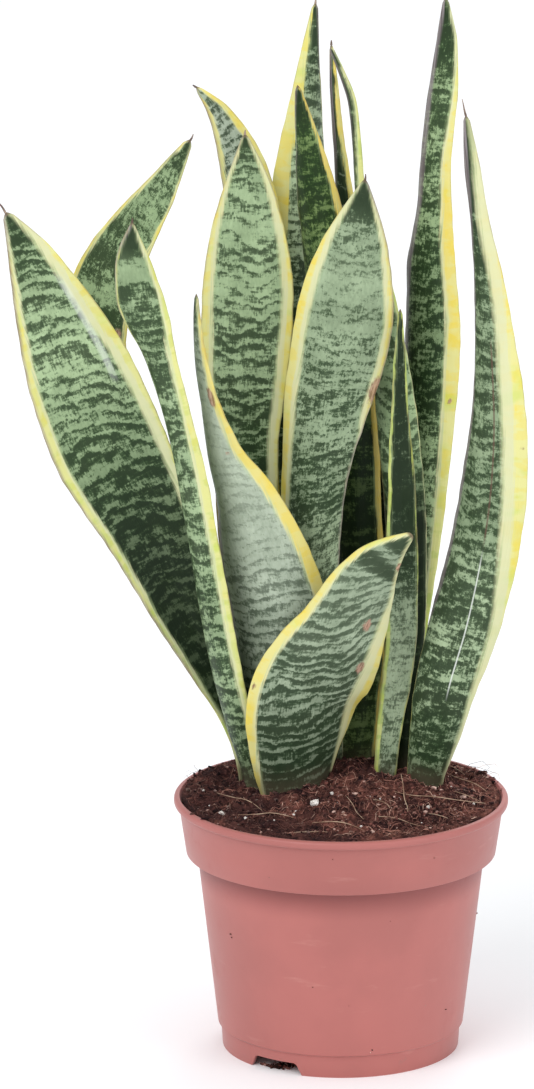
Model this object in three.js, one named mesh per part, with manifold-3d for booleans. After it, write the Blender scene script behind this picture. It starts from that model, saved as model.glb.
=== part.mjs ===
// Potted snake plant: fifteen upright banded leaves in a plastic nursery pot.
// Millimetres, +Z up. The pot's axis stands at x = 0, y = 0 while the pieces are made, with the front at -Y.

import * as THREE from "three";
import { mergeVertices } from "three/addons/utils/BufferGeometryUtils.js";
import Module from "manifold-3d";

const wasm = await Module();
wasm.setup();

// ---------------------------------------------------------------- driving dimensions

const rimDiameter = 140;
const potHeight = 108.3;
const footDiameter = 99.4;
const wall = 1.4;
const roundSides = 48;

const foot = { taper: 0.6, stepLow: 9.2, stepHigh: 10.2, stepOut: 1.3, ringWidth: 1.6 };
const floor = { underside: 5.5, top: 7 };
const shoulder = { low: 82.8, high: 84.4, lowRadius: 60.1, highRadius: 64.9, points: 4 };
const band = { top: 104.6, topRadius: 67.9 };
const lip = { round: 1.4, flat: 0.9, depth: 3.5, underTurn: -60 };
const drain = { holes: 8, radius: 4, ringRadius: 35, sides: 12 };

// Two notches opposite each other; a heading of 0 points to the front, and 90 to the right.
const notch = { lowWidth: 25, highWidth: 20, height: 5.2, corner: 1.5, flare: 0.3, depth: 12 };
const notchHeadings = [-34, 146];

// The soil is level at the wall and rises inwards; the rings are shares of its radius.
const soilLevel = 107;
const soilRings = [1, 0.9, 0.76, 0.6, 0.43, 0.26, 0.12];
const soilRiseFrom = { outer: 64, inner: 45 };
const mound = { x: 8, y: 16, height: 8, spread: 27 };

// Lumps in the soil: three ripples, each with its turns along x and y over one length, and its phase.
const lumps = { height: 0.9, length: 17, ripples: [[1, 0.8, 0], [-0.5, 0.7, 2], [0, 1.6, 1]] };

// Clearances between pieces that touch on the real plant.
const seat = 0.3;
const leafClearance = 0.4;

const rhizome = { radius: 6.5, level: 87, sides: 4, steps: 6 };
const crown = { height: 10, sides: 14, rings: 7 };

// A blade is thick along its midrib and thin at its margins; acrossBlade runs from margin to margin.
const blade = { baseThickness: 4.2, tipThickness: 2.2, marginThickness: 1, leastWidth: 1.5, tipLength: 2.5 };
const thickestShareOfWidth = 0.6;
const ringsPerStation = 2;
const acrossBlade = [-1, -0.62, -0.22, 0.22, 0.62, 1];

// The three groups of leaves: where each crown sits on the underground stem, and its half lengths.
const crowns = [
  { x: -27, y: 18, halfX: 20, halfY: 24 },
  { x: 0, y: 33, halfX: 17, halfY: 15 },
  { x: 28, y: 20, halfX: 15, halfY: 22 },
];

// A leaf's stations, from its foot in the crown to its tip. Each holds the midrib's x, y and z, then the
// blade's width, its face (the way the upper side looks: 0 forward, 90 right, 180 back, in degrees) and
// its roll (how far the blade turns from margin to margin, in degrees).
const leaves = {
  leaf_front_short: [
    [-16, 1, 94, 26, 210, 110],
    [-16, 0, 112, 39, 208, 96],
    [-15, -3, 131, 49, 203, 82],
    [-13, -7, 150, 53, 197, 68],
    [-7, -10, 166, 49, 191, 58],
    [1, -13, 183, 39, 186, 54],
    [8, -16, 201, 29, 180, 56],
    [14, -18, 212, 21, 176, 52],
    [21, -20, 220, 12, 172, 44],
    [27, -21, 225, 5, 170, 34],
  ],
  leaf_front_twisted: [
    [-23, 13, 94, 20, 180, 110],
    [-24, 10, 116, 30, 168, 104],
    [-27, 5, 148, 41, 162, 100],
    [-28, 3, 181, 49, 160, 102],
    [-34, 0, 209, 44, 156, 100],
    [-42, -2, 236, 33, 144, 96],
    [-50, -3, 255, 24, 130, 90],
    [-56, -5, 277, 18, 116, 80],
    [-59, -6, 294, 14, 108, 74],
    [-60, -7, 312, 8, 105, 60],
    [-60, -8, 323, 3, 105, 40],
  ],
  leaf_left_narrow: [
    [-37, 8, 94, 13, 122, 108],
    [-38, 8, 113, 17, 120, 102],
    [-44, 7, 133, 21, 120, 98],
    [-50, 3, 157, 24, 122, 96],
    [-58, -2, 201, 23, 124, 95],
    [-65, -8, 247, 21, 125, 94],
    [-72, -13, 280, 20, 128, 92],
    [-78, -16, 303, 20, 142, 88],
    [-83, -19, 322, 22, 166, 80],
    [-86, -22, 342, 15, 172, 64],
    [-86, -25, 357, 3, 178, 30],
  ],
  leaf_left_broad: [
    [-37, 25, 94, 12, 20, 95],
    [-39, 24, 120, 14, 18, 90],
    [-47, 24, 143, 18, 15, 80],
    [-66, 20, 185, 30, 12, 65],
    [-80, 15, 221, 41, 10, 56],
    [-97, 10, 257, 49, 8, 50],
    [-110, 5, 292, 45, 8, 48],
    [-119, 1, 316, 34, 8, 46],
    [-129, -3, 341, 19, 8, 42],
    [-137, -6, 357, 5, 8, 30],
  ],
  leaf_left_hooked: [
    [-36, 33, 94, 12, 15, 95],
    [-40, 34, 122, 15, 12, 85],
    [-53, 36, 159, 21, 10, 70],
    [-70, 38, 195, 27, 8, 60],
    [-88, 39, 234, 30, 8, 54],
    [-101, 39, 270, 30, 8, 50],
    [-104, 38, 297, 29, 8, 48],
    [-98, 37, 322, 28, 8, 46],
    [-88, 36, 341, 23, 8, 44],
    [-76, 35, 359, 15, 8, 40],
    [-64, 34, 379, 4, 8, 30],
  ],
  leaf_centre_upright: [
    [-20, 28, 95, 15, 0, 100],
    [-25, 30, 125, 17, 0, 92],
    [-32, 33, 160, 20, 0, 80],
    [-37, 34, 200, 24, 0, 68],
    [-40, 36, 250, 29, 0, 58],
    [-40, 36, 284, 37, 0, 50],
    [-39, 36, 316, 39, 0, 46],
    [-39, 36, 341, 32, 0, 44],
    [-39, 35, 363, 19, 0, 42],
    [-40, 34, 381, 4, 0, 30],
  ],
  leaf_centre_broad: [
    [-6, 29, 95, 15, 178, 115],
    [-8, 26, 120, 19, 165, 112],
    [-13, 22, 155, 25, 155, 108],
    [-15, 18, 195, 29, 152, 106],
    [-15, 16, 226, 32, 154, 98],
    [-12, 14, 253, 35, 159, 88],
    [-6, 13, 279, 40, 168, 68],
    [0, 11, 305, 42, 175, 56],
    [3, 9, 326, 37, 177, 50],
    [6, 8, 346, 25, 178, 46],
    [9, 6, 368, 4, 178, 30],
  ],
  leaf_centre_shaded: [
    [5, 34, 95, 15, 160, 112],
    [3, 35, 118, 21, 152, 108],
    [2, 35, 155, 27, 150, 104],
    [2, 36, 200, 30, 150, 100],
    [2, 37, 239, 30, 150, 98],
    [-1, 37, 280, 30, 150, 96],
    [-7, 38, 321, 27, 150, 92],
    [-11, 38, 353, 22, 152, 86],
    [-14, 37, 375, 14, 155, 76],
    [-18, 37, 401, 3, 160, 40],
  ],
  leaf_back_left: [
    [-28, 41, 95, 13, 0, 95],
    [-34, 43, 130, 16, 0, 85],
    [-40, 48, 189, 20, -2, 70],
    [-42, 52, 238, 23, -4, 60],
    [-40, 55, 282, 24, -5, 54],
    [-37, 57, 318, 25, -5, 50],
    [-37, 60, 345, 24, -5, 46],
    [-42, 63, 367, 19, -5, 44],
    [-51, 65, 386, 10, -5, 40],
    [-59, 66, 395, 3, -5, 30],
  ],
  leaf_back_tall: [
    [-4, 43, 95, 14, 200, 112],
    [-6, 45, 120, 18, 205, 108],
    [-10, 49, 169, 24, 208, 102],
    [-15, 54, 223, 29, 210, 98],
    [-16, 59, 277, 31, 210, 94],
    [-15, 64, 326, 31, 210, 90],
    [-15, 66, 358, 28, 210, 88],
    [-14, 68, 385, 18, 208, 80],
    [-13, 69, 407, 10, 205, 65],
    [-11, 71, 429, 3, 200, 40],
  ],
  leaf_back_thin: [
    [24, 40, 95, 11, 160, 110],
    [24, 42, 120, 13, 152, 105],
    [22, 48, 181, 15, 150, 98],
    [16, 53, 232, 16, 150, 94],
    [9, 57, 278, 16, 150, 90],
    [4, 61, 316, 12, 150, 88],
    [1, 64, 350, 9, 150, 84],
    [-1, 66, 374, 5, 150, 70],
    [-3, 67, 396, 4, 152, 60],
    [-4, 68, 412, 2, 155, 40],
  ],
  leaf_back_curved: [
    [26, 23, 95, 13, 160, 112],
    [25, 22, 122, 17, 152, 106],
    [25, 23, 168, 21, 150, 102],
    [25, 24, 219, 22, 150, 100],
    [21, 26, 268, 21, 150, 98],
    [15, 29, 315, 15, 150, 92],
    [10, 31, 340, 10, 150, 86],
    [7, 33, 364, 5, 150, 76],
    [4, 35, 397, 4, 150, 60],
    [-4, 36, 418, 2, 155, 40],
  ],
  leaf_right_slender: [
    [22, 13, 95, 10, 5, 80],
    [23, 14, 114, 11, 5, 75],
    [24, 15, 144, 13, 5, 70],
    [25, 14, 170, 14, 5, 66],
    [25, 13, 206, 14, 5, 62],
    [25, 11, 240, 12, 5, 60],
    [24, 9, 269, 8, 5, 56],
    [24, 8, 295, 5, 5, 50],
    [24, 7, 313, 2, 5, 30],
  ],
  leaf_right_tall: [
    [28, 32, 95, 13, 158, 112],
    [27, 32, 125, 17, 150, 106],
    [26, 33, 170, 22, 146, 100],
    [30, 35, 214, 26, 145, 98],
    [33, 37, 254, 29, 145, 96],
    [35, 38, 296, 31, 145, 96],
    [35, 40, 328, 26, 145, 94],
    [37, 42, 352, 19, 145, 90],
    [38, 43, 372, 16, 145, 86],
    [41, 45, 399, 15, 147, 80],
    [43, 46, 421, 10, 150, 66],
    [43, 47, 436, 3, 155, 40],
  ],
  leaf_right_bowed: [
    [35, 6, 95, 14, 172, 112],
    [35, 5, 114, 18, 171, 110],
    [38, 3, 131, 24, 170, 108],
    [43, -1, 158, 30, 165, 104],
    [49, -3, 181, 34, 159, 100],
    [55, -7, 211, 36, 152, 100],
    [59, -11, 240, 36, 147, 100],
    [61, -14, 271, 32, 142, 100],
    [60, -17, 303, 25, 140, 96],
    [58, -21, 334, 17, 140, 90],
    [55, -23, 360, 10, 140, 84],
    [52, -26, 385, 7, 145, 60],
    [50, -28, 402, 3, 150, 40],
  ],
};

// ---------------------------------------------------------------- materials

const potPlastic = new THREE.MeshStandardMaterial({ color: 0xc37873, roughness: 0.45, metalness: 0 });
const peat = new THREE.MeshStandardMaterial({ color: 0x3f2a22, roughness: 0.95, metalness: 0 });
const rootstock = new THREE.MeshStandardMaterial({ color: 0xd9a860, roughness: 0.7, metalness: 0 });

function leafMaterial() {
  return new THREE.MeshStandardMaterial({ color: 0x4f7a4a, roughness: 0.35, metalness: 0 });
}

// ---------------------------------------------------------------- closed solids

// The geometry with each place held by one vertex and without the flat triangles at the axis of a lathe.
function weld(geometry) {
  const bare = new THREE.BufferGeometry();
  bare.setAttribute("position", geometry.getAttribute("position"));
  if (geometry.index) bare.setIndex(geometry.index);
  const merged = mergeVertices(bare, 1e-3);
  const corners = merged.index.array;
  const kept = [];
  for (let i = 0; i < corners.length; i += 3) {
    const [a, b, c] = [corners[i], corners[i + 1], corners[i + 2]];
    if (a !== b && b !== c && c !== a) kept.push(a, b, c);
  }
  merged.setIndex(kept);
  return merged;
}

function toSolid(geometry) {
  const welded = weld(geometry);
  const vertProperties = new Float32Array(welded.getAttribute("position").array);
  const triVerts = new Uint32Array(welded.index.array);
  return new wasm.Manifold(new wasm.Mesh({ numProp: 3, vertProperties, triVerts }));
}

function fromSolid(solid) {
  const mesh = solid.getMesh();
  const geometry = new THREE.BufferGeometry();
  geometry.setAttribute("position", new THREE.BufferAttribute(new Float32Array(mesh.vertProperties), 3));
  geometry.setIndex([...mesh.triVerts]);
  return geometry;
}

// A solid of revolution about +Z, from [radius, height] points that run anticlockwise and end on the axis.
function turned(outline) {
  const points = outline.map(([radius, height]) => new THREE.Vector2(radius, height));
  return new THREE.LatheGeometry(points, roundSides).rotateX(Math.PI / 2);
}

function arc(centreRadius, centreHeight, radius, fromDegrees, toDegrees, steps) {
  const points = [];
  for (let i = 0; i <= steps; i += 1) {
    const angle = THREE.MathUtils.degToRad(fromDegrees + ((toDegrees - fromDegrees) * i) / steps);
    points.push([centreRadius + radius * Math.cos(angle), centreHeight + radius * Math.sin(angle)]);
  }
  return points;
}

// ---------------------------------------------------------------- pot

// Outer radius of the wall above the step: straight taper, nearly flat shoulder, straight band.
function wallRadius(height) {
  if (height < shoulder.low) {
    const low = footDiameter / 2 + foot.taper + foot.stepOut;
    return THREE.MathUtils.mapLinear(height, foot.stepHigh, shoulder.low, low, shoulder.lowRadius);
  }
  if (height < shoulder.high) {
    const rise = THREE.MathUtils.smoothstep(height, shoulder.low, shoulder.high);
    return THREE.MathUtils.lerp(shoulder.lowRadius, shoulder.highRadius, rise);
  }
  return THREE.MathUtils.mapLinear(height, shoulder.high, band.top, shoulder.highRadius, band.topRadius);
}

// Heights at which the wall's outline has a point, from the step up to the top of the band.
function wallHeights() {
  const heights = [foot.stepHigh];
  for (let i = 0; i <= shoulder.points; i += 1) {
    heights.push(THREE.MathUtils.lerp(shoulder.low, shoulder.high, i / shoulder.points));
  }
  heights.push(band.top);
  return heights;
}

// The inside of the wall from the floor's corner up, drawn in by a clearance. On the shoulder, which is
// nearly flat, it lies higher by the wall and the clearance.
function insideOutline(clearance) {
  const corner = footDiameter / 2 + foot.taper - wall;
  const side = wallHeights().map((height) => {
    const onShoulder = height >= shoulder.low && height <= shoulder.high;
    return [wallRadius(height) - wall - clearance, height + (onShoulder ? wall + clearance : 0)];
  });
  return [[corner - clearance, floor.top + clearance], ...side];
}

function potOutline() {
  const footRadius = footDiameter / 2;
  const rimRadius = rimDiameter / 2;
  const lipLow = potHeight - lip.depth + lip.round;
  const lipHigh = potHeight - lip.round;
  const outside = wallHeights().map((height) => [wallRadius(height), height]);
  return [
    [0, floor.underside],
    [footRadius - foot.ringWidth, floor.underside],
    [footRadius - foot.ringWidth, 0],
    [footRadius, 0],
    [footRadius + foot.taper, foot.stepLow],
    ...outside,
    ...arc(rimRadius - lip.round, lipLow, lip.round, lip.underTurn, 0, 2),
    ...arc(rimRadius - lip.round, lipHigh, lip.round, 0, 90, 3),
    [rimRadius - lip.round - lip.flat, potHeight],
    ...insideOutline(0).reverse(),
    [0, floor.top],
  ];
}

function drainHole(index) {
  const turn = (index / drain.holes) * 2 * Math.PI;
  const length = 3 * (floor.top - floor.underside);
  const hole = new THREE.CylinderGeometry(drain.radius, drain.radius, length, drain.sides);
  hole.rotateX(Math.PI / 2);
  hole.translate(drain.ringRadius * Math.cos(turn), drain.ringRadius * Math.sin(turn), floor.top);
  return hole;
}

// A drain notch through the foot ring: a trapezoid with rounded upper corners, cut from below the foot.
function footNotch(heading) {
  const low = notch.lowWidth / 2;
  const high = notch.highWidth / 2;
  const below = -notch.corner;
  const cornerHeight = notch.height - notch.corner;
  const shape = new THREE.Shape();
  shape.moveTo(-low, below);
  shape.lineTo(low, below);
  shape.lineTo(low, 0);
  shape.lineTo(high + notch.flare, cornerHeight);
  shape.quadraticCurveTo(high, notch.height, high - notch.corner, notch.height);
  shape.lineTo(notch.corner - high, notch.height);
  shape.quadraticCurveTo(-high, notch.height, -high - notch.flare, cornerHeight);
  shape.lineTo(-low, 0);
  const extrusion = { depth: notch.depth, bevelEnabled: false, curveSegments: 3 };
  const cutter = new THREE.ExtrudeGeometry(shape, extrusion);
  cutter.rotateX(Math.PI / 2);
  cutter.translate(0, (notch.depth - footDiameter) / 2, 0);
  cutter.rotateZ(THREE.MathUtils.degToRad(heading));
  return cutter;
}

function potGeometry() {
  let solid = toSolid(turned(potOutline()));
  for (let i = 0; i < drain.holes; i += 1) {
    solid = solid.subtract(toSolid(drainHole(i)));
  }
  for (const heading of notchHeadings) {
    solid = solid.subtract(toSolid(footNotch(heading)));
  }
  return fromSolid(solid);
}

// ---------------------------------------------------------------- leaves

// The leaf's midrib as a curve, and its width, face and roll as another with the same parameter.
function leafCurves(stations) {
  const midribs = stations.map(([x, y, z]) => new THREE.Vector3(x, y, z));
  const forms = stations.map(([, , , width, face, roll]) => new THREE.Vector3(width, face, roll));
  return {
    midrib: new THREE.CatmullRomCurve3(midribs, false, "centripetal"),
    form: new THREE.CatmullRomCurve3(forms, false, "catmullrom"),
  };
}

// One ring round the blade: along the upper side from the left margin, then back along the lower side.
function bladeRing(curves, t, clearance) {
  const centre = curves.midrib.getPoint(t);
  const along = curves.midrib.getTangent(t);
  const form = curves.form.getPoint(t);
  const width = Math.max(form.x, blade.leastWidth) + 2 * clearance;
  const face = THREE.MathUtils.degToRad(form.y);
  const roll = THREE.MathUtils.degToRad(form.z);
  const up = new THREE.Vector3(Math.sin(face), -Math.cos(face), 0);
  up.addScaledVector(along, -up.dot(along)).normalize();
  const across = new THREE.Vector3().crossVectors(along, up);
  const rollRadius = width / roll;
  const tapered = THREE.MathUtils.lerp(blade.baseThickness, blade.tipThickness, t);
  const middle = Math.min(tapered, thickestShareOfWidth * width);
  const margin = Math.min(blade.marginThickness, middle);
  const upper = [];
  const lower = [];
  for (const place of acrossBlade) {
    const turn = (place * roll) / 2;
    const half = THREE.MathUtils.lerp(middle, margin, place * place) / 2 + clearance;
    const normal = up.clone().multiplyScalar(Math.cos(turn)).addScaledVector(across, -Math.sin(turn));
    const point = centre.clone();
    point.addScaledVector(across, rollRadius * Math.sin(turn));
    point.addScaledVector(up, rollRadius * (1 - Math.cos(turn)));
    upper.push(point.clone().addScaledVector(normal, half));
    lower.unshift(point.clone().addScaledVector(normal, -half));
  }
  return [...upper, ...lower];
}

// The closed blade: rings from foot to tip, a strip across the foot and a point at the tip.
// Quads are split alike on the upper and the lower side.
function leafGeometry(stations, clearance = 0) {
  const curves = leafCurves(stations);
  const last = (stations.length - 1) * ringsPerStation;
  const places = acrossBlade.length;
  const size = 2 * places;
  const vertices = [];
  for (let ring = 0; ring <= last; ring += 1) {
    vertices.push(...bladeRing(curves, ring / last, clearance));
  }
  const sink = curves.midrib.getTangent(0).multiplyScalar(-clearance);
  for (let i = 0; i < size; i += 1) {
    vertices[i].add(sink);
  }
  const end = curves.midrib.getTangent(1).multiplyScalar(blade.tipLength + clearance);
  vertices.push(curves.midrib.getPoint(1).add(end));

  const faces = [];
  for (let ring = 0; ring < last; ring += 1) {
    for (let i = 0; i < size; i += 1) {
      const a = ring * size + i;
      const b = ring * size + ((i + 1) % size);
      const c = b + size;
      const d = a + size;
      if (i < places) faces.push(a, b, c, a, c, d);
      else faces.push(a, b, d, b, c, d);
    }
  }
  for (let i = 0; i < size; i += 1) {
    faces.push(last * size + i, last * size + ((i + 1) % size), vertices.length - 1);
  }
  for (let i = 0; i + 1 < places; i += 1) {
    const [a, b] = [i, i + 1];
    const [c, d] = [size - 2 - i, size - 1 - i];
    faces.push(a, d, c, a, c, b);
  }
  const geometry = new THREE.BufferGeometry();
  const numbers = vertices.flatMap((vertex) => vertex.toArray());
  geometry.setAttribute("position", new THREE.Float32BufferAttribute(numbers, 3));
  geometry.setIndex(faces);
  return geometry;
}

function leafHoles(solid) {
  for (const stations of Object.values(leaves)) {
    solid = solid.subtract(toSolid(leafGeometry(stations, leafClearance)));
  }
  return solid;
}

// ---------------------------------------------------------------- rhizome and soil

// The creeping stem: a stout root from crown to crown, and a low crown under each group of leaves.
function rhizomeSolid(clearance) {
  const path = crowns.map(({ x, y }) => new THREE.Vector3(x, y, rhizome.level));
  const section = new THREE.Shape();
  section.absarc(0, 0, rhizome.radius + clearance, 0, 2 * Math.PI);
  const stem = new THREE.ExtrudeGeometry(section, {
    extrudePath: new THREE.CatmullRomCurve3(path, false, "centripetal"),
    steps: rhizome.steps,
    curveSegments: rhizome.sides,
    bevelEnabled: false,
  });
  let solid = toSolid(stem);
  for (const { x, y, halfX, halfY } of crowns) {
    const bulge = new THREE.SphereGeometry(1, crown.sides, crown.rings);
    bulge.rotateX(Math.PI / 2);
    bulge.scale(halfX + clearance, halfY + clearance, crown.height + clearance);
    bulge.translate(x, y, rhizome.level);
    solid = solid.add(toSolid(bulge));
  }
  return solid;
}

function smoothBump(distance, spread) {
  return Math.exp(-(distance * distance) / (2 * spread * spread));
}

// Height of the soil's top above its level at the wall, fading out towards the wall.
function soilRise(x, y) {
  const fade = 1 - THREE.MathUtils.smoothstep(Math.hypot(x, y), soilRiseFrom.inner, soilRiseFrom.outer);
  const heap = mound.height * smoothBump(Math.hypot(x - mound.x, y - mound.y), mound.spread);
  let ripple = 0;
  for (const [alongX, alongY, phase] of lumps.ripples) {
    ripple += Math.sin((2 * Math.PI * (alongX * x + alongY * y)) / lumps.length + phase);
  }
  return fade * (heap + (lumps.height * ripple) / 2);
}

function soilGeometry() {
  const side = insideOutline(seat);
  const edge = wallRadius(band.top) - wall - seat;
  const top = soilRings.map((share) => [share * edge, soilLevel]);
  const geometry = turned([[0, floor.top + seat], ...side, ...top, [0, soilLevel]]);
  const place = geometry.getAttribute("position");
  for (let i = 0; i < place.count; i += 1) {
    if (place.getZ(i) > band.top) {
      place.setZ(i, soilLevel + soilRise(place.getX(i), place.getY(i)));
    }
  }
  return fromSolid(leafHoles(toSolid(geometry)).subtract(rhizomeSolid(seat)));
}

function rhizomeGeometry() {
  return fromSolid(leafHoles(rhizomeSolid(0)));
}

// ---------------------------------------------------------------- the plant

function piece(name, geometry, material) {
  const mesh = new THREE.Mesh(geometry, material);
  mesh.name = name;
  return mesh;
}

// Stands the plant so that the middle of its box's underside is the origin.
function centreOnBase(group) {
  const box = new THREE.Box3().setFromObject(group);
  const middle = box.getCenter(new THREE.Vector3());
  group.position.set(-middle.x, -middle.y, -box.min.z);
}

const plant = new THREE.Group();
plant.add(piece("pot", potGeometry(), potPlastic));
plant.add(piece("soil", soilGeometry(), peat));
plant.add(piece("rhizome", rhizomeGeometry(), rootstock));
for (const [name, stations] of Object.entries(leaves)) {
  plant.add(piece(name, leafGeometry(stations), leafMaterial()));
}
centreOnBase(plant);

export default plant;
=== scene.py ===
"""Potted snake plant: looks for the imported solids, laid out as an add-on and run as a script."""

import math
import random
from types import SimpleNamespace
from typing import NamedTuple

import bmesh
import bpy
import numpy as np
from mathutils import Matrix, Vector, noise


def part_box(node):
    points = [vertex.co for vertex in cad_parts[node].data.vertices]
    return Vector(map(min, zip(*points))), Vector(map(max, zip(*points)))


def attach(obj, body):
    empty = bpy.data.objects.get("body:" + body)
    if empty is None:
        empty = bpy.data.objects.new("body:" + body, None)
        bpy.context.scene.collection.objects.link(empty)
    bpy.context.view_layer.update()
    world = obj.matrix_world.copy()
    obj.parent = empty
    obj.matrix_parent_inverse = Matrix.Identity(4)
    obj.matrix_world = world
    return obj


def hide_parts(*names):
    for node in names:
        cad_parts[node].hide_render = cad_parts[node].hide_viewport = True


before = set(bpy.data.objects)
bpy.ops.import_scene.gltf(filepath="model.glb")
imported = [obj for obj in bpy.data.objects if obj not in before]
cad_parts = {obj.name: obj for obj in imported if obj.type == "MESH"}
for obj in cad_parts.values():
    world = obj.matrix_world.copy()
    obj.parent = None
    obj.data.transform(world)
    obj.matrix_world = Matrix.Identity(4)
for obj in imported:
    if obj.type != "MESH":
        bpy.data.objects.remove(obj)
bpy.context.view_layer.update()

bl_info = {
    "name": "Potted snake plant",
    "version": (1, 0, 0),
    "blender": (4, 5, 0),
    "location": "3D View > Sidebar > Plant",
    "description": "Dresses the solids of a potted snake plant with fine leaves, peat and pot",
    "category": "Object",
}

MM = 0.001
TINY = 0.01 * MM
BODY = "root"


def pot_axis():
    """Where the pot's axis meets the ground."""
    low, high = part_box("pot")
    return Vector(((low.x + high.x) / 2, (low.y + high.y) / 2, 0))


AXIS = pot_axis()

# ---------------------------------------------------------------- what each leaf looks like

class Style(NamedTuple):
    """How one leaf looks. Left and right are as seen from the front, and lengths are in mm."""
    bands: float  # from one crossband to the next
    margins: tuple  # share of the length, then the width of the yellow margin on the left and right
    # The ground and band values in bars also hold painted light and shade: the ground lighter where a leaf
    # lies in shadow among the others, darker at feet deep in shade.
    bars: tuple  # share of the length, how far crossbands cover it, how light the ground, how dark the bands
    grain: float = 1  # how far specks break up the crossbands
    slate: float = 0  # the ground, from moss green below 0 over fresh green to greyish green
    ochre: tuple = (0, 0)  # the margins at even steps from foot to tip: lime below 0, lemon, then ochre
    cream: tuple = (0, 0)  # width of the margin's pale inner part on the left and right
    # The grey edge is a painted sheen: the purple-grey of a glossy leaf that turns away at its seen edge.
    bloom: tuple = ((0, 0, 0),)  # share of the length, then the width of the grey edge on the left and right
    slope: tuple = ((0, 0),)  # share of the length, then how steeply the bands climb to the right


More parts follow.
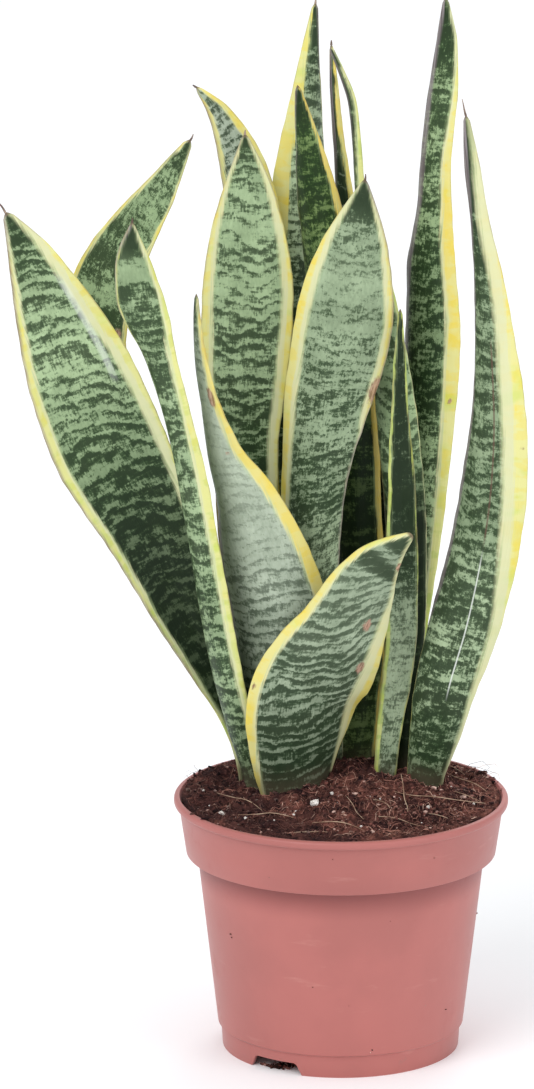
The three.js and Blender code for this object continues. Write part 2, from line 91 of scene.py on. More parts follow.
LEAVES = {
    "leaf_front_short": Style(
        bands=4.9, grain=0.55, slate=0.72, ochre=(0.3, 0.16), cream=(1, 5),
        margins=(
            (0, 1.5, 4), (0.15, 3, 6), (0.3, 4.4, 9), (0.43, 5.2, 10.5), (0.51, 4.8, 9), (0.61, 4.2, 7.2),
            (0.69, 3.7, 4.8), (0.75, 3.4, 2.2), (0.85, 2.6, 1), (0.94, 2.2, 0.9), (1, 1.4, 0.9)),
        bars=(
            (0, 0.8, 0.4, 0.95), (0.14, 0.7, 0.45, 0.95), (0.41, 0.57, 0.8, 0.86),
            (0.68, 0.54, 0.86, 0.66), (0.78, 0.42, 0.86, 0.6), (0.83, 0.4, 0.86, 0.6),
            (0.85, 1.1, 0.66, 0.8), (0.885, 1, 0.66, 0.8), (0.905, 0.35, 0.8, 0.6),
            (0.92, 0.35, 0.8, 0.6), (0.935, 1.1, 0.62, 0.8), (1, 1.15, 0.6, 0.85)),
        slope=((0, 0.1), (0.25, 0.14), (0.45, 0.32), (0.6, 0.56), (0.85, 0.8), (1, 0.7))),
    "leaf_front_twisted": Style(
        bands=5, grain=0.9, slate=1, ochre=(0.45, 0.45), cream=(0, 0.8),
        margins=(
            (0, 0.5, 2), (0.3, 0.5, 5), (0.45, 0.5, 6), (0.65, 0.8, 4.6), (0.8, 1, 2.8), (0.92, 1, 1.5),
            (1, 0.3, 0.3)),
        bars=(
            (0, 0.65, 0.5, 0.8), (0.25, 0.57, 0.76, 0.74), (0.42, 0.44, 1.05, 0.62),
            (0.59, 0.36, 1.15, 0.26), (0.76, 0.28, 1.15, 0.24), (0.91, 0.36, 1, 0.5), (1, 0.9, 0.6, 1)),
        bloom=((0.19, 0, 0), (0.32, 4, 0)),
        slope=((0, -0.1), (1, -0.2))),
    "leaf_left_narrow": Style(
        bands=8, slate=0.1, ochre=(-0.28, -0.28), cream=(0, 1.4),
        margins=(
            (0, 0.5, 1.5), (0.3, 0.6, 3.4), (0.6, 0.8, 4.2), (0.85, 2, 3), (0.95, 1.5, 2), (1, 0.3, 0.3)),
        bars=(
            (0, 0.72, 0.4, 1), (0.12, 0.62, 0.6, 0.95), (0.24, 0.54, 0.9, 0.9), (0.37, 0.58, 0.8, 0.94),
            (0.51, 0.52, 1, 0.84), (0.66, 0.58, 1, 0.86), (0.81, 0.62, 0.8, 0.84), (0.9, 0.6, 0.8, 0.86),
            (0.915, 0.12, 0.78, 0.6), (0.935, 0.15, 0.78, 0.6), (0.96, 1.2, 0.5, 0.86),
            (1, 1.3, 0.4, 0.9)),
        bloom=((0.16, 0, 0), (0.27, 1.2, 0)),
        slope=((0, 0.25), (0.6, 0.2), (0.8, 0))),
    "leaf_left_broad": Style(
        bands=7.6, grain=0.75, slate=0.08, ochre=(-0.62, 0.02), cream=(1.3, 4),
        margins=(
            (0, 0.5, 0.6), (0.2, 1.8, 2.6), (0.45, 3.8, 4), (0.65, 4.6, 5.6), (0.8, 4, 8), (0.92, 2.4, 5),
            (1, 0.6, 0.6)),
        bars=(
            (0, 0.62, 0.2, 1), (0.21, 0.64, 0.13, 1), (0.35, 0.68, 0.17, 1), (0.49, 0.66, 0.4, 1),
            (0.58, 0.6, 0.66, 0.94), (0.66, 0.53, 0.88, 0.88), (0.77, 0.45, 1.18, 0.82),
            (0.87, 0.52, 1, 0.86), (0.96, 0.66, 0.7, 0.9), (1, 0.9, 0.5, 0.95)),
        bloom=((0.16, 0, 0), (0.26, 0.8, 0)),
        slope=((0, 0.1), (0.5, 0), (0.8, -0.05))),
    "leaf_left_hooked": Style(
        bands=11, grain=1.7, ochre=(0.1, 0.1), cream=(0.6, 0.5),
        margins=((0, 0.5, 0.6), (0.5, 1.2, 1.4), (0.8, 1.6, 1.8), (0.93, 1, 1), (1, 0.2, 0.2)),
        bars=(
            (0, 0.8, 0.3, 1), (0.64, 0.68, 0.8, 0.92), (0.71, 0.62, 0.95, 0.88),
            (0.735, 0.62, 0.95, 0.88), (0.745, 0.26, 0.96, 0.7), (0.765, 0.26, 0.96, 0.7),
            (0.775, 0.62, 0.92, 0.86), (0.87, 0.46, 0.94, 0.82), (0.93, 0.48, 0.92, 0.84),
            (1, 1, 0.5, 0.95)),
        slope=((0, 0), (1, -0.3))),
    "leaf_centre_upright": Style(
        bands=6.3, grain=0.8, slate=0.12, ochre=(-0.3, 0.1), cream=(2, 3),
        margins=(
            (0, 1, 1.5), (0.5, 3, 4.2), (0.7, 5, 5.5), (0.82, 4.4, 4.6), (0.93, 2, 2.4), (1, 0.3, 0.3)),
        bars=(
            (0, 0.75, 0.35, 1), (0.48, 0.6, 0.6, 0.96), (0.62, 0.55, 1, 0.9), (0.76, 0.42, 1.02, 0.8),
            (0.86, 0.42, 1, 0.8), (0.965, 0.48, 0.9, 0.82), (0.985, 0.75, 0.7, 0.9), (1, 1, 0.5, 0.95)),
        bloom=((0.16, 0, 0), (0.26, 0.3, 0))),
    "leaf_centre_broad": Style(
        bands=6.2, grain=1.3, slate=0.42, ochre=(0.4, 0.12), cream=(2.8, 2),
        margins=(
            (0, 3, 0.4), (0.5, 8.6, 0.4), (0.6, 8, 0.8), (0.66, 7.3, 4), (0.85, 5.6, 4.4),
            (0.95, 2.4, 2.2), (1, 0.2, 0.2)),
        bars=(
            (0, 0.75, 0.6, 1), (0.36, 0.48, 1.7, 0.74), (0.5, 0.57, 0.72, 0.9), (0.65, 0.47, 0.82, 0.88),
            (0.74, 0.38, 0.8, 0.8), (0.79, 0.34, 0.8, 0.74), (0.84, 0.18, 0.9, 0.55),
            (0.91, 0.46, 0.76, 0.72), (0.94, 0.62, 0.7, 0.76), (0.96, 1.15, 0.5, 0.84),
            (1, 1.2, 0.42, 0.9)),
        bloom=((0.16, 0, 0), (0.27, 0, 0.8)),
        slope=((0, 0.45), (0.5, 0.4), (0.65, 0.15), (0.8, 0))),
    "leaf_centre_shaded": Style(
        bands=9, grain=1.1, slate=-0.7, ochre=(0.9, 0.9),
        margins=((0, 0.5, 1.4), (0.4, 0.5, 2.6), (0.85, 0.5, 2.8), (0.95, 0.5, 1), (1, 0.3, 0.3)),
        bars=(
            (0, 0.5, 1, 0.8), (0.2, 0.58, 0.9, 0.86), (0.34, 0.76, 0.25, 1), (0.58, 0.62, 0.6, 1),
            (0.71, 0.54, 0.85, 0.97), (0.79, 0.5, 0.95, 0.95), (0.83, 0.7, 0.8, 0.95),
            (0.94, 0.66, 0.8, 0.95), (1, 1, 0.4, 1)),
        bloom=((0.15, 0, 0), (0.24, 1, 0))),
    "leaf_back_left": Style(
        bands=5, slate=1, ochre=(0.2, 0.2), cream=(0.5, 0.5),
        margins=((0, 1, 1), (0.5, 2, 2.6), (0.85, 2.4, 3.6), (0.94, 2, 2.8), (1, 0.6, 0.6)),
        bars=((0, 0.7, 0.6, 0.9), (0.65, 0.55, 1, 0.9), (0.84, 0.43, 1.16, 0.84), (1, 0.46, 1, 0.8)),
        bloom=((0.15, 0, 0), (0.24, 0.6, 0))),
    "leaf_back_tall": Style(
        bands=8, slate=0.4, ochre=(1, -0.1),
        margins=((0, 2, 0.5), (0.5, 4, 0.8), (0.75, 7.4, 1), (0.88, 5, 1), (0.96, 2, 0.6), (1, 0.2, 0.2)),
        bars=(
            (0, 0.8, 0.4, 1), (0.59, 0.66, 0.7, 1), (0.68, 0.5, 1.2, 0.92), (0.78, 0.38, 1.5, 0.76),
            (0.89, 0.55, 1, 0.9), (0.95, 0.7, 0.8, 0.95), (1, 1.1, 0.5, 1)),
        bloom=((0.13, 0, 0), (0.22, 0, 1))),
    "leaf_back_thin": Style(
        bands=8, slate=0.9, ochre=(0.5, 0.5),
        margins=((0, 0.4, 1), (0.5, 0.4, 2), (0.9, 0.4, 1.6), (1, 0.2, 0.2)),
        bars=((0, 0.85, 0.4, 1), (0.7, 0.85, 0.4, 1), (1, 0.95, 0.4, 1)),
        bloom=((0.14, 0, 0), (0.23, 2.2, 0))),
    "leaf_back_curved": Style(
        bands=9, ochre=(-0.45, -0.45), cream=(0, 0.5),
        margins=((0, 0.6, 0.1), (0.6, 0.6, 0.3), (0.7, 0.6, 2.6), (0.8, 0.5, 2.6), (1, 0.2, 0.3)),
        bars=(
            (0, 0.85, 0.1, 1), (0.38, 0.85, 0.1, 1), (0.47, 0.45, 1, 0.8), (0.62, 0.45, 1, 0.8),
            (0.72, 0.8, 0.5, 1), (0.85, 0.88, 0.5, 0.95), (1, 0.9, 0.4, 1)),
        bloom=((0.14, 0, 0), (0.23, 1.2, 0))),
    "leaf_right_slender": Style(
        bands=9, grain=1.2, slate=0.5, ochre=(-0.6, -1, -1),
        margins=((0, 1.4, 0.1), (0.4, 1.6, 0.1), (0.7, 0.8, 0.1), (1, 0.2, 0.2)),
        bars=(
            (0, 0.7, 0.7, 0.95), (0.12, 0.52, 0.9, 0.86), (0.27, 0.34, 1.2, 0.6), (0.41, 0.42, 1, 0.75),
            (0.5, 0.8, 0.5, 0.95), (0.61, 0.92, 0.42, 0.96), (0.77, 0.9, 0.4, 1), (1, 1, 0.3, 1))),
    "leaf_right_tall": Style(
        bands=9, grain=1.25, slate=-0.06, ochre=(-0.6, -0.5, 0.05, 0.45, -0.45), cream=(0, 1.2),
        margins=(
            (0, 0.5, 1.8), (0.3, 0.5, 4), (0.55, 0.5, 6.6), (0.7, 0.5, 5.6), (0.85, 0.5, 3),
            (0.97, 0.4, 0.6), (1, 0.2, 0.2)),
        bars=(
            (0, 0.72, 0.6, 1), (0.41, 0.5, 1.5, 0.92), (0.52, 0.66, 0.62, 1), (0.64, 0.6, 0.72, 0.96),
            (0.76, 0.56, 1.05, 0.92), (0.87, 0.6, 0.9, 0.86), (1, 1, 0.5, 1)),
        bloom=((0.44, 0, 0), (0.52, 6, 0), (0.7, 6, 0), (0.85, 4.6, 0), (1, 2.2, 0)),
        slope=((0, 0), (1, 0.1))),
    "leaf_right_bowed": Style(
        bands=7, grain=1.15, slate=0.3, ochre=(-0.12, -0.1, -0.05, 0.12, 0.1), cream=(0, 5),
        margins=(
            (0, 0.5, 1.2), (0.15, 0.5, 2.2), (0.3, 0.5, 5.2), (0.42, 0.5, 9.4), (0.52, 0.5, 10.6),
            (0.62, 0.5, 9.4), (0.75, 0.5, 6), (0.85, 0.5, 4.4), (0.95, 0.4, 2), (1, 0.2, 0.4)),
        bars=(
            (0, 0.8, 0.4, 1), (0.06, 0.7, 0.56, 1), (0.19, 0.64, 1, 0.94), (0.32, 0.58, 1.08, 0.88),
            (0.45, 0.56, 0.72, 0.86), (0.57, 0.57, 0.78, 0.86), (0.76, 0.6, 0.8, 0.86),
            (0.89, 0.8, 0.6, 0.92), (1, 1, 0.4, 1)),
        bloom=((0.24, 0, 0), (0.33, 4.4, 0), (0.6, 5.2, 0), (0.8, 3.4, 0), (1, 3, 0)),
        slope=((0, 0), (0.6, 0), (1, -0.2))),
}

# Leaves whose margins lie a little off their solids': share of the length, then how far the left and the
# right margin move to the right, in mm.
LEANS = {
    "leaf_right_slender": ((0, -4.6, -5.8), (0.14, -3.6, -4.4), (0.24, -1.6, -2), (0.36, 0, 0)),
    "leaf_centre_shaded": ((0, 0.6, 0.6), (0.1, 2, 2), (0.2, 4.4, 4.4), (0.3, 3, 3), (0.42, 0, 0)),
    "leaf_front_twisted": ((0.2, 0, 0), (0.4, -1.3, 0), (0.5, -1.9, 0), (0.68, -1.9, 0), (0.8, 0, 0)),
    "leaf_left_narrow": ((0.25, 0, 0), (0.4, 0, 0.8), (0.62, 0, 0.8), (0.75, 0, 0)),
}

# Creases of a leaf: from and to in mm along it from the foot, share of the half width from the midrib
# (right is positive, seen from the front), half width in mm, then how strong the painted glint on it is,
# or below 0 how dry it is.
CREASES = {
    "leaf_right_bowed": ((56, 126, 0.17, 0.4, 0.9), (126, 220, 0.17, 0.55, -1)),
    "leaf_left_broad": ((200, 256, 0.56, 2.1, 0.5),),
}

# Scars: the leaf, mm along it from the foot, share of the half width from the midrib (right is
# positive, seen from the front), then its half length and half width in mm.
SCARS = (
    ("leaf_front_short", 99, 0.42, 3.5, 1.6),
    ("leaf_front_short", 80, 0.6, 4, 1.8),
    ("leaf_front_short", 132, 0.92, 2.4, 1.3),
    ("leaf_centre_broad", 191, 0.93, 7, 2.6),
    ("leaf_centre_upright", 184, -0.95, 5, 2.2),
    ("leaf_front_twisted", 167, 0.5, 1.6, 1),
    ("leaf_front_twisted", 193, 0.7, 5, 1.5),
    ("leaf_left_hooked", 216, 0.72, 5, 2),
    ("leaf_front_short", 58, -0.93, 1.6, 1),
    ("leaf_right_bowed", 172, 0.86, 1.6, 1.1),
    ("leaf_right_tall", 176, 0.8, 1.2, 0.9),
)


# ---------------------------------------------------------------- sizes and colours a user may change

def length(name, description, default, **limits):
    return bpy.props.FloatProperty(
        name=name, description=description, default=default, unit="LENGTH", subtype="DISTANCE",
        precision=5, **limits)


def colour(name, description, default):
    return bpy.props.FloatVectorProperty(
        name=name, description=description, default=default, subtype="COLOR", size=3, min=0, max=1)


class PotSettings(bpy.types.PropertyGroup):
    """The nursery pot."""
    rim: length("Rim diameter", "Outside diameter of the lip", 140 * MM)
    height: length("Height", "From the foot to the top of the lip", 108.3 * MM)
    foot: length("Foot diameter", "Outside diameter of the foot ring", 99.4 * MM)
    wall: length("Wall", "Thickness of the wall", 1.4 * MM)
    sides: bpy.props.IntProperty(name="Sides", description="Steps round the pot", default=144, min=48)
    clay: colour("Pot colour", "Terracotta-coloured plastic", (0.435, 0.138, 0.122))


class PeatSettings(bpy.types.PropertyGroup):
    """The peat mix."""
    level: length("Level", "Height of the peat at the wall", 106.5 * MM)
    cell: length("Cell", "Size of a cell of the peat's surface", 0.72 * MM)
    crumbs: bpy.props.IntProperty(name="Crumbs", description="Loose crumbs", default=3600, min=0)
    threads: bpy.props.IntProperty(name="Threads", description="Fine fibres", default=2600, min=0)
    dark: colour("Peat colour", "Damp peat", (0.026, 0.009, 0.008))
    light: colour("Dry peat colour", "Drier crumbs", (0.19, 0.070, 0.052))


class LeafSettings(bpy.types.PropertyGroup):
    """The leaves."""
    step: length("Step", "Distance between rows along a leaf", 2.2 * MM)
    wave: length("Margin wave", "How far the margins wave", 0.45 * MM)
    fresh: colour("Fresh green", "Light green between the bands", (0.410, 0.545, 0.300))
    slate: colour("Slate green", "Greyish green between the bands", (0.470, 0.540, 0.420))
    band: colour("Band green", "Dark green of the crossbands", (0.0080, 0.0165, 0.0070))
    pale: colour("Lemon", "Pale part of the margins", (0.700, 0.675, 0.280))
    ochre: colour("Deep yellow", "Deep part of the margins", (0.760, 0.620, 0.105))


class StageSettings(bpy.types.PropertyGroup):
    """The floor, the lights and the camera."""
    floor: colour("Floor colour", "Pale floor", (0.96, 0.965, 0.975))
    key: bpy.props.FloatProperty(name="Key light", description="Power of the large light", default=46.0,
                                 unit="POWER")
    lens: bpy.props.FloatProperty(name="Lens", description="Focal length", default=263.6,
                                  subtype="DISTANCE_CAMERA")


# ---------------------------------------------------------------- shader helpers

class Wire:
    """A socket that takes part in Python arithmetic by adding Math nodes."""

    def __init__(self, finish, socket):
        self.finish = finish
        self.socket = socket

    def math(self, operation, *others):
        return self.finish.math(operation, self, *others)

    def __add__(self, other):
        return self.math("ADD", other)

    def __sub__(self, other):
        return self.math("SUBTRACT", other)

    def __rsub__(self, other):
        return self.finish.math("SUBTRACT", other, self)

    def __mul__(self, other):
        return self.math("MULTIPLY", other)

    def __neg__(self):
        return 0 - self

    __radd__ = __add__
    __rmul__ = __mul__

    def size(self):
        return self.math("ABSOLUTE")

    def at_least(self, value):
        return self.math("MAXIMUM", value)

    def at_most(self, value):
        return self.math("MINIMUM", value)

    def swing(self, reach):
        """A noise of 0 to 1 as a shift by up to half the reach either way."""
        return (self - 0.5) * reach

    def step(self, low, high):
        """0 below low, 1 above high and smooth between them."""
        return self.finish.add(
            "ShaderNodeMapRange", dict(interpolation_type="SMOOTHSTEP"),
            {"Value": self, "From Min": low, "From Max": high})


class Finish:
    """A material under construction, with its main shader."""

    def __init__(self, name):
        self.material = bpy.data.materials.new(name)
        self.material.use_nodes = True
        self.tree = self.material.node_tree
        self.shader = self.tree.nodes["Principled BSDF"]

    def connect(self, socket, value):
        if isinstance(value, Wire):
            self.tree.links.new(value.socket, socket)
        elif socket.type == "RGBA":
            socket.default_value = (*tuple(value)[:3], 1)
        else:
            socket.default_value = value

    def add(self, kind, settings=None, inputs=None, output=0):
        """A node of that kind, with its settings and inputs, as the Wire of one of its outputs."""
        node = self.tree.nodes.new(kind)
        for name, value in (settings or {}).items():
            setattr(node, name, value)
        for name, value in (inputs or {}).items():
            self.connect(node.inputs[name], value)
        return Wire(self, node.outputs[output])

    def set(self, **values):
        """Sets or links sockets of the main shader."""
        for name, value in values.items():
            self.connect(self.shader.inputs[name.replace("_", " ")], value)

    def math(self, operation, *values):
        return self.add("ShaderNodeMath", dict(operation=operation), dict(enumerate(values)))

    def vector_math(self, operation, *values):
        return self.add("ShaderNodeVectorMath", dict(operation=operation), dict(enumerate(values)))

    def place(self):
        return self.add("ShaderNodeTexCoord", output="Object")

    def parts(self, vector):
        """The x, y and z of a vector."""
        split = self.add("ShaderNodeSeparateXYZ", None, {0: vector}).socket.node
        return [Wire(self, output) for output in split.outputs]

    def attribute(self, name):
        """A vector attribute of the piece, whole and as its three numbers."""
        vector = self.add("ShaderNodeAttribute", dict(attribute_name=name), output="Vector")
        return vector, self.parts(vector)

    def noise(self, vector, scale, detail=2.0, roughness=0.5, shift=None):
        """Noise about 0.5. The scale is one number, or three where the noise is stretched."""
        if shift:
            vector = self.vector_math("ADD", vector, shift)
        if isinstance(scale, tuple):
            vector, scale = self.vector_math("MULTIPLY", vector, scale), 1
        return self.add(
            "ShaderNodeTexNoise", None,
            {"Vector": vector, "Scale": scale, "Detail": detail, "Roughness": roughness})

    def cells(self, vector, scale):
        return self.add("ShaderNodeTexVoronoi", None, {"Vector": vector, "Scale": scale}, output="Distance")

    def mix(self, factor, first, second):
        """A colour from first to second as factor goes from 0 to 1."""
        return self.add("ShaderNodeMix", dict(data_type="RGBA"), {0: factor, 6: first, 7: second}, output=2)

    def coats(self, colour, *coats):
        """Lays coats over a colour, each given as how much of it shows and its own colour."""
        for amount, coat in coats:
            colour = self.mix(amount, colour, coat)
        return colour

    def bump(self, height, distance, strength, under=None):
        inputs = {"Height": height, "Distance": distance, "Strength": strength}
        if under is not None:
            inputs["Normal"] = under
        return self.add("ShaderNodeBump", None, inputs)


# ---------------------------------------------------------------- mesh helpers

def clear_selection():
    """Leaves edit mode and deselects everything."""
    if bpy.context.object and bpy.context.object.mode != "OBJECT":
        bpy.ops.object.mode_set(mode="OBJECT")
    bpy.ops.object.select_all(action="DESELECT")


def select_only(pieces):
    clear_selection()
    for piece in pieces:
        piece.select_set(True)
    bpy.context.view_layer.objects.active = pieces[0]


def settle(piece):
    """Puts the piece's place into its mesh and leaves its object at the origin."""
    select_only([piece])
    bpy.ops.object.transform_apply(location=True, rotation=True, scale=True)


def join(pieces, name):
    """Joins the pieces into the first one."""
    select_only(pieces)
    bpy.ops.object.join()
    whole = pieces[0]
    whole.name = name
    whole.data.name = name
    return whole


def new_piece(name, vertices, faces):
    mesh = bpy.data.meshes.new(name)
    mesh.from_pydata(vertices, [], faces)
    mesh.update()
    piece = bpy.data.objects.new(name, mesh)
    bpy.context.scene.collection.objects.link(piece)
    return piece


def finish_piece(piece, finish, slot, *nodes):
    piece.data.materials.clear()
    piece.data.materials.append(finish)
    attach(piece, BODY)
    if nodes:
        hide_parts(*nodes)


def append_shape(vertices, faces, corners, sides):
    """Adds one shape to the lists that a mesh is made from."""
    start = len(vertices)
    vertices.extend(corners)
    faces.extend(tuple(start + corner for corner in side) for side in sides)


def table(rows, share, column):
    """The value of a column at each share of the length, as one number for each row of a blade."""
    rows = np.array(rows, float)
    return np.interp(share, rows[:, 0], rows[:, column])[:, None]


def fade(value, low, high):
    """0 below low, 1 above high and smooth between them."""
    share = min(max((value - low) / (high - low), 0), 1)
    return share * share * (3 - 2 * share)


# ---------------------------------------------------------------- pot

POT_STEP = SimpleNamespace(taper=0.6 * MM, low=9.2 * MM, high=10.2 * MM, out=1.3 * MM, ring=1.6 * MM)
POT_FLOOR = SimpleNamespace(under=5.5 * MM, top=7 * MM)
POT_SHOULDER = SimpleNamespace(
    low=82.8 * MM, high=84.4 * MM, low_radius=60.1 * MM, high_radius=64.9 * MM, points=10)
POT_BAND = SimpleNamespace(top=104.6 * MM, radius=67.9 * MM)
POT_LIP = SimpleNamespace(round=1.4 * MM, flat=0.9 * MM, depth=3.5 * MM, under_turn=-60)
POT_RINGS = SimpleNamespace(below=(30 * MM, 56 * MM), above=94 * MM)
POT_EDGE = SimpleNamespace(width=0.3 * MM, sharp=50, smooth=32)
DRAIN = SimpleNamespace(holes=8, radius=4 * MM, ring=35 * MM, depth=6 * MM, sides=32)
NOTCH = SimpleNamespace(
    low=25 * MM, high=20 * MM, height=5.2 * MM, corner=1.3 * MM, depth=12 * MM, headings=(-34, 146))
POT_TINTS = SimpleNamespace(
    rubbed=(0.66, 0.36, 0.31), scuffed=(0.33, 0.13, 0.12), dusty=(0.30, 0.17, 0.15),
    shaded=(0.23, 0.055, 0.052))


def wall_radius(pot, height):
    """Outside radius of the wall above the step."""
    if height < POT_SHOULDER.low:
        low = pot.foot / 2 + POT_STEP.taper + POT_STEP.out
        share = (height - POT_STEP.high) / (POT_SHOULDER.low - POT_STEP.high)
        return low + share * (POT_SHOULDER.low_radius - low)
    if height < POT_SHOULDER.high:
        share = fade(height, POT_SHOULDER.low, POT_SHOULDER.high)
        return POT_SHOULDER.low_radius + share * (POT_SHOULDER.high_radius - POT_SHOULDER.low_radius)
    share = (height - POT_SHOULDER.high) / (POT_BAND.top - POT_SHOULDER.high)
    return POT_SHOULDER.high_radius + share * (POT_BAND.radius - POT_SHOULDER.high_radius)


def wall_heights():
    """Heights of the rings that the wall is drawn through, close together on the shoulder."""
    low, high, points = POT_SHOULDER.low, POT_SHOULDER.high, POT_SHOULDER.points
    between = [low + (high - low) * i / points for i in range(points + 1)]
    return [POT_STEP.high, *POT_RINGS.below, *between, POT_RINGS.above, POT_BAND.top]


def inside_wall(pot, gap):
    """Radius and height of the points up the inside of the wall, drawn in by a gap."""
    points = []
    for height in wall_heights():
        on_shoulder = POT_SHOULDER.low <= height <= POT_SHOULDER.high
        lift = pot.wall + gap if on_shoulder else 0
        points.append((wall_radius(pot, height) - pot.wall - gap, height + lift))
    return points


def lip_arc(radius, height, turn, start, end, steps):
    """Points on an arc round a centre, from one angle to another in degrees."""
    angles = [math.radians(start + (end - start) * i / steps) for i in range(steps + 1)]
    return [(radius + turn * math.cos(a), height + turn * math.sin(a)) for a in angles]


def pot_outline(pot):
    """The pot's half section, from the axis under the floor round the outside to the axis over the floor."""
    foot = pot.foot / 2
    rim = pot.rim / 2 - POT_LIP.round
    low = pot.height - POT_LIP.depth + POT_LIP.round
    high = pot.height - POT_LIP.round
    return [
        (0, POT_FLOOR.under),
        (foot - POT_STEP.ring, POT_FLOOR.under),
        (foot - POT_STEP.ring, 0),
        (foot, 0),
        (foot + POT_STEP.taper, POT_STEP.low),
        *[(wall_radius(pot, h), h) for h in wall_heights()],
        *lip_arc(rim, low, POT_LIP.round, POT_LIP.under_turn, 0, 5),
        *lip_arc(rim, high, POT_LIP.round, 0, 90, 6),
        (rim - POT_LIP.flat, pot.height),
        *reversed(inside_wall(pot, 0)),
        (foot + POT_STEP.taper - pot.wall, POT_FLOOR.top),
        (0, POT_FLOOR.top),
    ]


def turned_piece(name, outline, sides):
    """A solid of revolution about the pot's axis, drawn by extruding a point and spun."""
    clear_selection()
    first = outline[0]
    bpy.ops.mesh.primitive_plane_add(size=MM, location=(AXIS.x + first[0], AXIS.y, first[1]))
    piece = bpy.context.object
    piece.name = name
    settle(piece)
    bpy.ops.object.mode_set(mode="EDIT")
    bpy.ops.mesh.select_all(action="SELECT")
    bpy.ops.mesh.merge(type="CENTER")
    for (radius, height), (next_radius, next_height) in zip(outline, outline[1:]):
        step = (next_radius - radius, 0, next_height - height)
        bpy.ops.mesh.extrude_region_move(TRANSFORM_OT_translate={"value": step})
    bpy.ops.mesh.select_all(action="SELECT")
    bpy.ops.mesh.spin(steps=sides, angle=2 * math.pi, center=AXIS, axis=(0, 0, 1), dupli=False)
    bpy.ops.mesh.select_all(action="SELECT")
    bpy.ops.mesh.remove_doubles(threshold=TINY)
    bpy.ops.mesh.normals_make_consistent(inside=False)
    bpy.ops.object.mode_set(mode="OBJECT")
    return piece


def drain_cutters():
    """Pegs for the drain holes and blocks for the two notches in the foot ring."""
    cutters = []
    for index in range(DRAIN.holes):
        turn = 2 * math.pi * index / DRAIN.holes
        clear_selection()
        bpy.ops.mesh.primitive_cylinder_add(
            vertices=DRAIN.sides, radius=DRAIN.radius, depth=DRAIN.depth,
            location=(AXIS.x + DRAIN.ring * math.cos(turn), AXIS.y + DRAIN.ring * math.sin(turn),
                      POT_FLOOR.top))
        cutters.append(bpy.context.object)
    for heading in NOTCH.headings:
        clear_selection()
        bpy.ops.mesh.primitive_cube_add(
            size=1, scale=(NOTCH.high, NOTCH.depth, 2 * NOTCH.height), location=(0, 0, 0))
        block = bpy.context.object
        bpy.ops.object.transform_apply(location=False, rotation=False, scale=True)
        for vert in block.data.vertices:
            if vert.co.z < 0:
                vert.co.x *= 2 * NOTCH.low / NOTCH.high - 1
        bpy.ops.object.mode_set(mode="EDIT")
        bpy.ops.mesh.select_all(action="SELECT")
        bpy.ops.mesh.bevel(offset=NOTCH.corner, segments=4)
        bpy.ops.object.mode_set(mode="OBJECT")
        turn = Matrix.Rotation(math.radians(heading), 4, "Z")
        reach = turn @ Vector((0, -bpy.context.scene.plant_pot.foot / 2, 0))
        block.data.transform(Matrix.Translation(AXIS + reach) @ turn)
        cutters.append(block)
    return join(cutters, "cutters")


def pot_finish(pot):
    finish = Finish("pot_plastic")
    place = finish.place()
    height = finish.parts(place)[2]
    cloud = finish.noise(place, 24, 4)
    grain = finish.noise(place, 900, 3)
    rubbed = finish.noise(place, (30, 30, 160), 4, 0.6)
    scuffs = finish.noise(place, (260, 260, 40), 3, 0.7, shift=(3, 1, 0))
    dust = finish.noise(place, 75, 5, 0.65, shift=(0, 7, 2))
    clay = Vector(pot.clay)
    low = POT_SHOULDER.low
    # Painted shadow: a dark ring on the wall just under the band's shoulder.
    under = height.step(low - 13 * MM, low - 1 * MM) * (1 - height.step(low + 0.3 * MM, low + 1.2 * MM))
    base = finish.coats(
        clay * 0.9,
        (cloud.step(0.35, 0.7), clay * 1.02),
        (rubbed.step(0.62, 0.8) * 0.3, POT_TINTS.rubbed),
        (scuffs.step(0.7, 0.78) * 0.3, POT_TINTS.scuffed),
        (dust.step(0.66, 0.76) * 0.45, POT_TINTS.dusty),
        (under * 0.74, POT_TINTS.shaded),
        (height.step(low + 1 * MM, low + 4 * MM) * 0.1, clay * 0.6))
    rough = 0.40 + cloud * 0.16 + dust.step(0.55, 0.8) * 0.2
    ripple = finish.bump(cloud, 0.9 * MM, 0.5, finish.bump(grain, 0.02 * MM, 0.5))
    finish.set(Base_Color=base, Roughness=rough, Normal=ripple, Specular_IOR_Level=0.45,
               Sheen_Weight=0.12, Sheen_Roughness=0.4)
    return finish.material


class PLANT_OT_pot(bpy.types.Operator):
    """Spins the nursery pot, cuts its drain holes and notches and rounds its edges."""
    bl_idname = "plant.pot"
    bl_label = "Pot"

    def execute(self, context):
        pot = context.scene.plant_pot
        piece = turned_piece("nursery_pot", pot_outline(pot), pot.sides)
        cutter = drain_cutters()
        select_only([piece])
        cut = piece.modifiers.new("cut", "BOOLEAN")
        cut.object = cutter
        cut.solver = "EXACT"
        bpy.ops.object.modifier_apply(modifier=cut.name)
        bpy.data.objects.remove(cutter)
        soften = piece.modifiers.new("soften", "BEVEL")
        soften.width = POT_EDGE.width
        soften.segments = 2
        soften.limit_method = "ANGLE"
        soften.angle_limit = math.radians(POT_EDGE.sharp)
        bpy.ops.object.modifier_apply(modifier=soften.name)
        bpy.ops.object.shade_smooth_by_angle(angle=math.radians(POT_EDGE.smooth))
        finish_piece(piece, pot_finish(pot), "pot_plastic", "pot")
        return {"FINISHED"}


# ---------------------------------------------------------------- peat

MOUND = SimpleNamespace(x=8 * MM, y=16 * MM, height=8 * MM, spread=27 * MM)
PEAT_FADE = (45 * MM, 64 * MM)
PEAT_GAP = 0.1 * MM
PEAT_TRIM = 0.992
PEAT_EDGE = SimpleNamespace(low=52 * MM, calm=58 * MM, high=62 * MM, wall=64 * MM, rise=1.3, calming=0.5)

